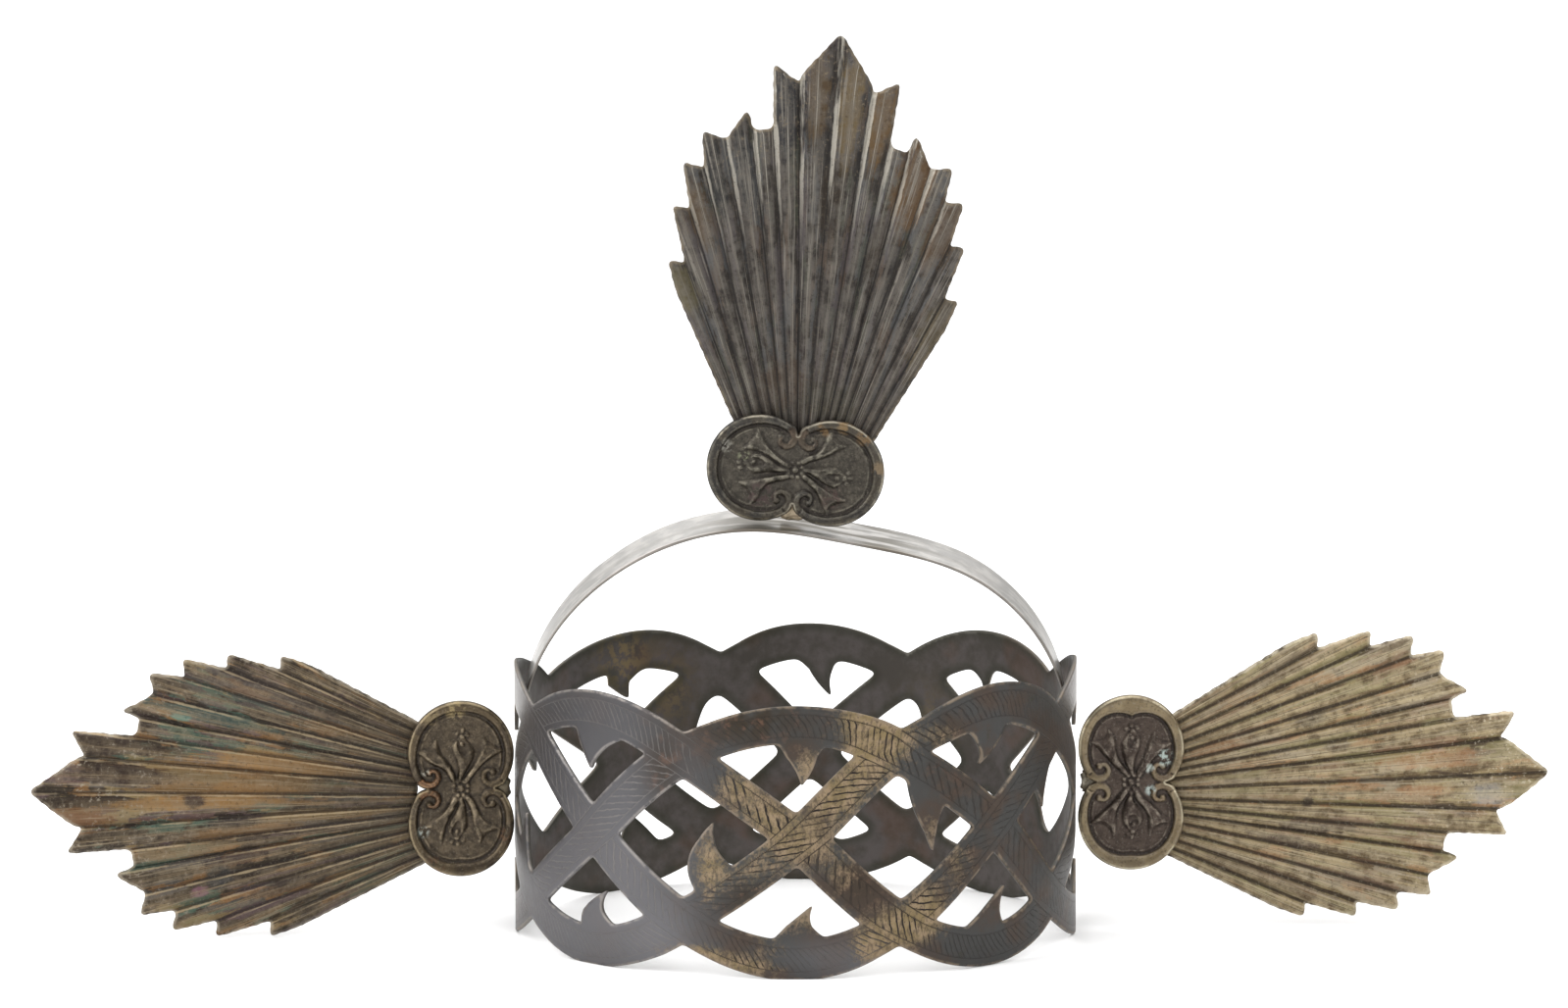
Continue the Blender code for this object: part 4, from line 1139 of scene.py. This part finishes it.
def build_band():
    """Fine mesh of the pierced band, its outer and inner faces joined by rounded edges."""
    holes = hole_loops()
    low_rim, top_rim = [rim_loop(side) for side in (-1, 1)]
    loops = [low_rim, top_rim] + holes
    outline = np.concatenate(loops)
    grid, grid_edge = skin_points(holes, (low_rim, top_rim), outline)
    triangles = fill([rolled_flat(loop) for loop in loops], rolled_flat(grid))
    faces, edges = sheet_shell(triangles, loops, grid_edge)

    # Each outline also has a loop that swells past its rim, or into its hole
    swell = np.array([0.0, ARRIS_SWELL])
    swollen = [low_rim - swell, top_rim + swell]
    swollen = np.concatenate(swollen + [pushed_out(hole, -ARRIS_SWELL) for hole in holes])
    face = np.concatenate([outline, grid])
    inner_face = BAND_RADIUS - BAND_SHEET
    layers = (
        (face, BAND_RADIUS, 1.0), (swollen, BAND_RADIUS - ARRIS, 1.0),
        (swollen, inner_face + ARRIS, 0.0), (face, inner_face, 0.0))
    places = []
    patterns = []
    outsides = []
    for flat, radius, outside in layers:
        turn = flat[:, 0] / BAND_RADIUS
        angle, height = drifted(turn, flat[:, 1])
        wave = np.sin(7 * angle + height / 9) + np.sin(3 * angle - height / 6)
        reach = radius - SHEET_WAVE * (1 + wave / 2)
        places.append(on_cylinder(angle, reach, np.maximum(height, 0.0)))
        patterns.append(side_by_side(np.sin(turn), np.cos(turn), flat[:, 1]))
        outsides.append(np.full(len(flat), outside))

    places = np.concatenate(places)
    degrees = np.degrees(np.arctan2(places[:, 0], -places[:, 1]))
    tan, purple, pale, brown = [
        soft_patches(degrees, places[:, 2], patches)
        for patches in (TAN_PATCHES, PURPLE_PATCHES, PALE_PATCHES, BROWN_PATCHES)]
    traits = {"pattern": np.concatenate(patterns), "outside": np.concatenate(outsides),
              "zones": side_by_side(tan, purple, pale - brown), "edge": edges}
    places = places + (RING_X, 0.0, 0.0)
    band = make_piece("pierced_band", places, faces, band_finish(), traits)
    stand_in(band, "band")


# The arch

def arch_bend():
    """Half width of the round that the arch is bent to, and the turn where it starts."""
    foot_reach = math.sqrt((BAND_RADIUS - BAND_SHEET - JOINT_GAP) ** 2 - (ARCH_WIDTH / 2) ** 2)
    start = math.asin((ARCH_FOOT - ARCH_SPRING) / (ARCH_TOP - ARCH_SPRING))
    return foot_reach / math.cos(start), start


def arch_surface(across, along):
    """Points of the arch's outer face, along being the distance back from its middle line."""
    reach, start = arch_bend()
    level = ARCH_SPRING + (ARCH_TOP - ARCH_SPRING) * np.sqrt(1 - (across / reach) ** 2)
    level -= ARCH_DIP * np.exp(-((across - ARCH_DIP_PLACE) / ARCH_DIP_WIDTH) ** 2)
    rise = level - ARCH_FOOT
    depth = along * math.cos(ARCH_LEAN) - rise * math.sin(ARCH_LEAN)
    height = ARCH_FOOT + rise * math.cos(ARCH_LEAN) + along * math.sin(ARCH_LEAN)
    return side_by_side(RING_X + across, depth, height)


def build_arch():
    """Strip with rounded edges, from its foot on the left to its foot on the right."""
    reach, start = arch_bend()
    across = -reach * np.cos(np.linspace(start, math.pi - start, 220))
    half = ARCH_WIDTH / 2
    spots = list(np.linspace(-half + ARCH_MARGIN, half - ARCH_MARGIN, 13))
    spots = [-half + ARCH_ROUND] + spots + [half - ARCH_ROUND]
    section = [(along, 0.0) for along in spots]
    section += [(half, ARCH_ROUND), (half, ARCH_SHEET - ARCH_ROUND)]
    section += [(along, ARCH_SHEET) for along in reversed(spots)]
    section += [(-half, ARCH_SHEET - ARCH_ROUND), (-half, ARCH_ROUND)]
    rows = []
    strips = []
    step = 0.05
    for along, depth in section:
        point = arch_surface(across, along)
        ahead = arch_surface(across + step, along) - arch_surface(across - step, along)
        aside = arch_surface(across, along + step) - arch_surface(across, along - step)
        normal = np.cross(ahead, aside)
        normal /= np.linalg.norm(normal, axis=1)[:, None]
        ripple = 0.05 + 0.05 * np.sin(across / 3.1) * np.cos(along / 2.3 + across / 8.0)
        sunk = depth + ripple * (ARCH_SHEET - depth) / ARCH_SHEET
        rows.append(point - normal * sunk[:, None])
        strips.append(side_by_side(across, along, half - abs(along)))
    points = np.stack(rows, axis=1)
    steps, count = points.shape[:2]
    faces = []
    for i in range(steps - 1):
        faces += joined(i * count, (i + 1) * count, count)
    faces.append(tuple(range(count)))
    faces.append(tuple((steps - 1) * count + j for j in range(count)))
    traits = {"strip": np.stack(strips, axis=1).reshape(-1, 3)}
    arch = make_piece("arch_strip", points.reshape(-1, 3), faces, arch_finish(), traits)
    stand_in(arch, "arch")


# Frames of the cartouches and rays, in mm

def side_distance(side):
    """Distance of a side cartouche's middle from the middle of the band."""
    return math.sqrt(BAND_RADIUS ** 2 - CARTOUCHE_PLACE[side] ** 2) + JOINT_GAP + ROUND_RADIUS


def cartouche_centre(side):
    """Middle of a cartouche, on the plane of its ray."""
    if side == "top":
        middle_line = arch_surface(np.array([0.0]), 0.0)[0]
        low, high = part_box("cartouche_top")
        return Vector((RING_X, middle_line[1] - TOP_RAY_FORWARD, (low[2] + high[2]) / 2 / MM))
    across = side_distance(side) * (-1 if side == "left" else 1)
    return Vector((RING_X + across, CARTOUCHE_PLACE[side], CARTOUCHE_HEIGHT[side]))


def swung(side):
    """Matrix of a cartouche's middle, its plane swung forwards or not."""
    swing = Matrix.Rotation(math.radians(SIDE_SWING[side]), 4, "Z")
    return Matrix.Translation(cartouche_centre(side)) @ swing


def cartouche_frame(side):
    """Matrix of a cartouche: +Z runs outwards from its middle, -Y to the front."""
    return swung(side) @ Matrix.Rotation(math.radians(CARTOUCHE_TURN[side]), 4, "Y")


def ray_frame(side):
    """Matrix of a ray: +Z runs along it from the meeting point of its flutes."""
    across, up = RAY_ORIGIN[side]
    origin = swung(side) @ Matrix.Translation((across, 0.0, up))
    return origin @ Matrix.Rotation(math.radians(RAY_TURN[side]), 4, "Y")


def placed(matrix, points):
    """Points moved by a matrix."""
    table = np.array(matrix)
    return points @ table[:3, :3].T + table[:3, 3]


# The rays

def flute_height(turn):
    """Height of the fluted surface, from 0 in a valley to 1 on a ridge."""
    turn = np.abs(turn)
    valleys = np.array(RAY_VALLEYS)
    which = np.clip(np.searchsorted(valleys, turn, side="right") - 1, 0, len(valleys) - 2)
    share = (turn - valleys[which]) / (valleys[which + 1] - valleys[which])
    return 1.0 - np.abs(2 * share - 1) ** FLUTE_ROUNDNESS


def ray_columns():
    """Degrees of a ray's columns: its outline's turns, its valleys, and steps between."""
    ordered = sorted({turn for turn, share in RAY_OUTLINE} | set(RAY_VALLEYS))
    columns = []
    for low, high in zip(ordered, ordered[1:]):
        count = max(int(round((high - low) / RAY_COLUMN_STEP)), 1)
        columns += list(np.linspace(low, high, count, endpoint=False))
    columns.append(ordered[-1])
    half = np.array(columns)
    return np.concatenate([-half[:0:-1], half])


def ray_loop(side):
    """Outline of a ray in its own plane, its tips and notches worn round."""
    outline = np.array(RAY_OUTLINE)
    turns = np.concatenate([-outline[:0:-1, 0], outline[:, 0]])
    shares = np.concatenate([outline[:0:-1, 1], outline[:, 1]])
    reach = RAY_LENGTH * RAY_SCALE[side] * shares * (1 + RAY_SKEW[side] * turns)
    cut = fanned(side, turns, reach)
    back = turns[::-1]
    foot = fanned(side, back, RAY_START[side] + RAY_FOOT[side])
    loop = evenly(np.vstack([cut, foot]), RAY_EDGE_STEP)
    loop = evenly(worn_round(loop, RAY_WEAR, np.zeros(len(loop))), RAY_EDGE_STEP)
    marks = np.arange(len(loop)) * RAY_EDGE_STEP
    nick = 0.05 * np.sin(marks * 1.9) * np.sin(marks * 0.47) + 0.04 * np.sin(marks * 3.3 + 1.0)
    return pushed_out(loop, (0.04 - nick)[:, None])


def fanned(side, degrees, reach):
    """Places in a ray's own plane of points given by their degrees and distance out."""
    turn = np.radians(degrees * (RAY_SPREAD[side] + RAY_WIDER[side] * degrees))
    return side_by_side(reach * np.sin(turn), reach * np.cos(turn))


def unfanned(side, flat):
    """Degrees and distance out of points in a ray's own plane."""
    turn = np.degrees(np.arctan2(flat[:, 0], flat[:, 1]))
    spread = RAY_SPREAD[side]
    degrees = turn / spread
    for _ in range(4):
        degrees = turn / (spread + RAY_WIDER[side] * degrees)
    return degrees, np.hypot(*flat.T)


def ray_inside(side, loop):
    """Points of a ray's sheet in rows along its flutes, clear of its outline."""
    out = np.arange(RAY_START[side], RAY_LENGTH * RAY_SCALE[side] * 1.02, RAY_ROW_STEP)
    grid = np.concatenate([fanned(side, degrees, out) for degrees in ray_columns()])
    return clear_inside(grid, loop, RAY_CLEAR)


def build_ray(side):
    """Fluted sheet with a thickness, worn round along its cut edges."""
    loop = ray_loop(side)
    grid, grid_edge = ray_inside(side, loop)
    faces, edges = sheet_shell(fill([loop], grid), [loop], grid_edge)
    face = np.concatenate([loop, grid])
    swollen = pushed_out(loop, RAY_SWELL)
    full = RAY_LENGTH * RAY_SCALE[side]
    valleys = np.array([-valley for valley in RAY_VALLEYS[:0:-1]] + list(RAY_VALLEYS))
    layers = (
        (face, 0.0), (swollen, RAY_ARRIS), (swollen, RAY_SHEET - RAY_ARRIS), (face, RAY_SHEET))
    places = []
    flutes = []
    swells = []
    for flat, depth in layers:
        degrees, out = unfanned(side, flat)
        swell = flute_height(degrees)
        ripple = FLUTE_RIPPLE * (1 + np.sin(out / 5.0 + degrees * 2.1))
        places.append(standing(flat, depth - (FLUTE_DEPTH - ripple) * swell * out / full))
        nearest = valleys[np.abs(degrees[:, None] - valleys).argmin(axis=1)]
        flutes.append(side_by_side(degrees, out, np.radians(degrees - nearest) * out))
        swells.append(swell)
    traits = {"flute": np.concatenate(flutes), "swell": np.concatenate(swells), "edge": edges}
    points = placed(ray_frame(side), np.concatenate(places))
    ray = make_piece("ray_sheet_" + side, points, faces, ray_finish(side), traits)
    stand_in(ray, "ray_" + side)


# The cartouches

def scroll_path(turns):
    """Distance from the scroll's middle, and half width, of its roll after these turns."""
    across = ROUND_HALF - SCROLL_MIDDLE[0]
    first = ROUND_RADIUS - ROLL_HALF - math.hypot(across, SCROLL_MIDDLE[1])
    return first * np.exp(-SCROLL_WIND * turns), ROLL_HALF - ROLL_TAPER * turns


def quarter_outline():
    """Outline from the far end of the right round to the bottom of the outer notch."""
    arc = polar((ROUND_HALF, 0.0), ROUND_RADIUS, np.linspace(0.0, SCROLL_START, 80))
    wound = np.linspace(0.0, NOTCH_TURN, 24)[1:]
    reach, half = scroll_path(wound)
    curl = polar(SCROLL_MIDDLE, reach + half, SCROLL_START + wound)
    curl[:, 0] = np.maximum(curl[:, 0], NOTCH_HALF)
    return np.vstack([arc, curl])


def cartouche_outline():
    """The whole outline of a cartouche in its own plane, anticlockwise."""
    quarter = quarter_outline()
    upper = np.vstack([quarter, quarter[::-1] * (-1, 1)])
    lower = (upper[::-1] * (1, -1))[1:-1]
    return evenly(np.vstack([upper, lower]), RELIEF_STEP)


def bump(distance, width):
    """Round-topped ridge, 1 in its middle and 0 at half its width away."""
    return np.sqrt(np.clip(1 - (2 * distance / width) ** 2, 0, 1))


def smooth_step(value, low, high):
    """0 under low, 1 over high and smooth between."""
    share = np.clip((value - low) / (high - low), 0, 1)
    return share * share * (3 - 2 * share)


def side_petal(s, t):
    """Trumpet petal: height over the field, s along it and t across."""
    half = 0.42 + 0.05 * s + 1.25 * smooth_step(s, 4.0, 10.4) ** 1.6
    lip = PETAL_REACH - 0.9 + 0.55 * (t / 1.6) ** 2
    ends = smooth_step(s, 1.0, 2.2) * (1 - smooth_step(s, lip - 0.15, lip + 0.35))
    body = 0.95 * bump(t, 2.2 * half) ** 1.3 * ends
    fold = 0.30 * smooth_step(s, 4.5, 8.0) * bump(t, 1.1 * half) * ends
    mouth = 0.40 * bump(s - lip, 0.9) * (np.abs(t) < half)
    return np.maximum(body - fold, mouth)


def middle_petal(s, t):
    """Kite petal with a crown at its tip and a seed in its mouth."""
    opening = 0.35 + 1.35 * smooth_step(s, 1.4, PETAL_WIDEST)
    closing = 1.70 - 1.3 * smooth_step(s, PETAL_WIDEST, 9.6)
    half = np.where(s < PETAL_WIDEST, opening, closing)
    ends = smooth_step(s, 1.0, 2.0) * (1 - smooth_step(s, 9.4, 9.9))
    body = 0.80 * bump(t, 2.2 * half) * ends
    hollow = 0.75 * bump(np.hypot((s - 7.6) / 1.9, t), 1.9)
    seed = 0.75 * bump(np.hypot(s - 8.0, t * 1.1), 0.95)
    points = 0.45 * bump(np.hypot(s - 9.9, np.abs(t) - 0.9), 0.95)
    centre_point = 0.5 * bump(np.hypot((s - 10.4) / 1.3, t), 0.85)
    return np.maximum.reduce([body - hollow, seed, points, centre_point])


def scroll_relief(side, points):
    """Height over the field of the two outer and two inner scrolls, and where they are."""
    wound = np.linspace(0.0, SCROLL_TURN, 90)
    reach, half = scroll_path(wound)
    path = polar(SCROLL_MIDDLE, reach, SCROLL_START + wound)
    quarter = np.abs(points)
    away = np.hypot(quarter[:, None, 0] - path[:, 0], quarter[:, None, 1] - path[:, 1])
    roll = np.sqrt(np.clip(1 - (away / half) ** 2, 0, 1)).max(axis=1)
    eye = bump(np.hypot(*(quarter - path[-1]).T), 1.2)
    inside = np.hypot(*(quarter - SCROLL_MIDDLE).T)
    mask = 1 - smooth_step(inside, reach[0], reach[0] + 0.8)
    outer, inner = SCROLL_HEIGHT[side]
    tall = np.where(points[:, 1] > 0, outer, inner) * np.maximum(roll, 0.95 * eye)
    return tall, mask * smooth_step(roll, 0.0, 0.25)


def flower_relief(side, points):
    """Height over the field of the six petals, the beads and the boss, cut by hand."""
    x, y = points.T
    seed = len(side)
    across = x + HAND_WAVER * np.sin(y * 0.9 + x * 0.3 + 2 * seed)
    up = y + HAND_WAVER * np.sin(x * 0.75 + y * 0.35 + seed)
    relief = np.zeros(len(points))
    for hand in (1, -1):
        for number, degrees in enumerate(SIDE_PETALS + (0,)):
            lean = math.radians(degrees + 5 * math.sin(3.1 * number + 1.7 * hand + seed))
            s = hand * across * math.cos(lean) + up * math.sin(lean)
            t = up * math.cos(lean) - hand * across * math.sin(lean)
            petal = side_petal(s, t) if degrees else middle_petal(s, t)
            relief = np.maximum(relief, petal)
    away = np.hypot(x, y)
    around = np.arctan2(y, x) / math.tau * BEADS
    spaced = np.abs(around % 1 - 0.5) * math.tau / BEADS
    beads = bump(np.hypot(away - BEAD_RING, BEAD_RING * spaced), 0.85)
    relief = np.maximum.reduce([relief, 0.55 * beads, 0.7 * bump(away, 1.3)])
    return relief * (0.86 + 0.14 * np.sin(x * 1.9 + 1.0) * np.sin(y * 2.3 + seed))


def cartouche_relief(side, points):
    """Height in mm of the embossed face over the back, and masks of rim and scrolls."""
    u = np.abs(points[:, 0]) - ROUND_HALF
    v = points[:, 1]
    inward = ROUND_RADIUS - np.hypot(u, v)
    turn = np.abs(np.arctan2(v, u))
    cusp = np.where(points[:, 0] < 0, CUSPS[side][0], CUSPS[side][1])
    width = RIM_WIDTH[side] + cusp * np.clip(1 - turn / 0.95, 0, 1) ** 1.6
    width = width - 0.35 * smooth_step(turn, 1.2, SCROLL_START)
    scroll, scroll_mask = scroll_relief(side, points)
    rim_mask = 1 - smooth_step(inward, width - 0.16, width + 0.16)
    rim_mask = rim_mask * (1 - smooth_step(turn, SCROLL_START - 0.12, SCROLL_START + 0.22))
    roll = 0.90 * np.sqrt(np.clip(1 - ((inward - 0.85) / 0.95) ** 2, 0, 1))
    slope = 0.90 - 0.35 * np.clip((inward - 0.85) / (width - 0.85), 0, 1)
    lip = 0.14 * bump(inward - width + 0.28, 0.5)
    rim = FIELD + np.where(inward < 0.85, roll, slope + lip)
    field = FIELD - 0.22 * bump(np.hypot(u / 1.1, v), 2 * ROUND_RADIUS)
    inner_line = 0.18 * bump(inward - width - 0.85, 0.5) * (turn < 2.0)
    inside = field + np.maximum(flower_relief(side, points), inner_line)
    height = inside * (1 - rim_mask) + np.maximum(rim, inside) * rim_mask
    curled = np.maximum(height * (1 - scroll_mask), FIELD + scroll)
    height = np.where(scroll > 0, curled, height)
    return height, np.maximum(rim_mask, smooth_step(scroll, 0.0, 0.3)), scroll_mask


def build_cartouche(side):
    """Embossed face on a triangle grid, closed by a wall and a flat back."""
    outline = cartouche_outline()
    count = len(outline)
    low = outline.min(axis=0)
    high = outline.max(axis=0)
    rows = []
    for number, level in enumerate(np.arange(low[1], high[1], RELIEF_STEP * math.sqrt(0.75))):
        across = np.arange(low[0] + (number % 2) * RELIEF_STEP / 2, high[0], RELIEF_STEP)
        rows.append(side_by_side(across, level))
    grid, grid_edge = clear_inside(np.concatenate(rows), outline, RELIEF_STEP * CLEAR_SHARE)
    flat = np.concatenate([outline, grid])
    height, rim, scroll = cartouche_relief(side, flat)
    # How far each point lies below its surroundings; the hollows get dirt and painted shade from it.
    around = np.zeros(len(flat))
    for turn in np.arange(6) * math.tau / 6:
        around += cartouche_relief(side, polar(flat, HOLLOW_REACH, turn))[0] / 6
    hollow = np.clip(0.5 + (around - height) * 1.1, 0, 1)
    inset = pushed_out(outline, -BACK_INSET)
    points = np.concatenate([
        standing(flat, -height), standing(outline, -SHOULDER), standing(inset, 0.0)])
    shoulder = len(flat)
    back = shoulder + count
    faces = fill([outline], grid) + joined(0, shoulder, count) + joined(shoulder, back, count)
    faces += [tuple(back + i for i in triangle) for triangle in fill([inset], inset[:0])]
    relief = side_by_side(hollow, rim, scroll)
    relief = np.concatenate([relief, np.tile([0.55, 1.0, 0.0], (2 * count, 1))])
    matrix = cartouche_frame(side) @ Matrix.Translation((0.0, CARTOUCHE_DEPTH, 0.0))
    spot = np.concatenate([flat, outline, inset])
    inward = np.concatenate([np.zeros(count), grid_edge, np.zeros(2 * count)])
    traits = {"relief": relief, "spot": np.column_stack([spot, inward])}
    cartouche = make_piece("embossed_cartouche_" + side, placed(matrix, points), faces,
                           cartouche_finish(side), traits)
    stand_in(cartouche, "cartouche_" + side)


# The solder joints

SOLDER_BLUNTNESS = 0.45


def build_tab(side):
    """Short strip under lumps of solder, kept to the box of the part's own tab."""
    low, high = [np.array(corner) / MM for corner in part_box("tab_" + side)]
    middle = (low + high) / 2
    half = (high - low) / 2
    steps = 26
    rings = 40
    pole = np.array([0.0, 0.0, half[2] * 0.95])
    points = [middle + pole, middle - pole]
    for ring in range(1, rings):
        rise = math.cos(math.pi * ring / rings)
        waist = math.sin(math.pi * ring / rings)
        for step in range(steps):
            turn = math.tau * step / steps
            direction = np.array([
                blunt(waist * math.cos(turn)), blunt(waist * math.sin(turn)), blunt(rise)])
            lump = 0.93 + 0.07 * math.sin(3 * turn + ring * 0.55) * math.cos(ring * 0.31 + turn)
            points.append(middle + direction * half * lump)
    faces = []
    last = 2 + (rings - 2) * steps
    for step in range(steps):
        after = (step + 1) % steps
        faces.append((0, 2 + step, 2 + after))
        faces.append((1, last + after, last + step))
    for first in range(2, last, steps):
        faces += joined(first, first + steps, steps)
    tab = make_piece("solder_joint_" + side, points, faces, solder_finish(side), {})
    stand_in(tab, "tab_" + side)


def blunt(value):
    """Pushes a direction's share outwards, which turns a ball into a soft block."""
    return math.copysign(abs(value) ** SOLDER_BLUNTNESS, value)


# Studio

CAMERA_AWAY = 1.330
CAMERA_UP = math.radians(9.3)
CAMERA_TILT = math.radians(83)
CAMERA_ASIDE = -0.00208
AIM_HEIGHT = 0.025
SENSOR_WIDTH = 36.0
FOCAL_PIXELS = 7348
PHOTO_WIDTH = 1599
SKY_LOW = 0.40
SKY_HIGH = 1.50
SKY_LEAN = 0.18
FLOOR_HALF = 12.0
# Name, place, turn in degrees, size and power of each lamp
LAMPS = (
    ("overhead", (0.0, 0.1, 1.4), (0, 0, 0), 1.2, 9.0),
    ("left_window", (-1.3, -0.5, 0.8), (55, 0, -68), 0.9, 11.0),
    ("right_window", (1.3, -0.6, 0.9), (52, 0, 65), 0.9, 5.0),
)


def build_sky():
    """Soft white light, brightest overhead and a little stronger from the left."""
    world = bpy.data.worlds.new("studio")
    world.use_nodes = True
    sky = Nodes(world.node_tree)
    east, north, up = sky.parts(sky.place("Generated"))
    light = east * -SKY_LEAN + sky.step(up, 0.05, 0.85, SKY_LOW, SKY_HIGH)
    background = world.node_tree.nodes["Background"]
    sky.feed(background.inputs["Strength"], light)
    sky.feed(background.inputs["Color"], (1.0, 1.0, 1.0))
    bpy.context.scene.world = world


def build_studio():
    """Camera at the photograph's angle, a pale floor and plain soft light."""
    lens = bpy.data.cameras.new("camera")
    lens.sensor_width = SENSOR_WIDTH
    lens.lens = FOCAL_PIXELS / PHOTO_WIDTH * SENSOR_WIDTH
    lens.clip_end = 100.0
    camera = bpy.data.objects.new("camera", lens)
    camera.location = (
        RING_X * MM + CAMERA_ASIDE, -CAMERA_AWAY * math.cos(CAMERA_UP),
        AIM_HEIGHT + CAMERA_AWAY * math.sin(CAMERA_UP))
    camera.rotation_euler = (CAMERA_TILT, 0.0, 0.0)
    bpy.context.scene.collection.objects.link(camera)
    bpy.context.scene.camera = camera

    paper = Finish("pale_paper", 0.0, 0.9)
    paper.set("Base Color", (0.93, 0.93, 0.93))
    mesh = bpy.data.meshes.new("floor")
    corners = [(x * FLOOR_HALF, y * FLOOR_HALF, 0.0) for x, y in ((-1, -1), (1, -1), (1, 1), (-1, 1))]
    mesh.from_pydata(corners, [], [(0, 1, 2, 3)])
    mesh.materials.append(paper.material)
    floor = bpy.data.objects.new("floor", mesh)
    bpy.context.scene.collection.objects.link(floor)

    build_sky()
    for name, place, turn, size, power in LAMPS:
        lamp = bpy.data.lights.new(name, "AREA")
        lamp.size = size
        lamp.energy = power
        light = bpy.data.objects.new(name, lamp)
        light.location = place
        light.rotation_euler = [math.radians(degrees) for degrees in turn]
        bpy.context.scene.collection.objects.link(light)
    bpy.context.scene.view_settings.view_transform = "Standard"


build_band()
build_arch()
for crown_side in ("left", "right", "top"):
    build_ray(crown_side)
    build_cartouche(crown_side)
    build_tab(crown_side)
build_studio()
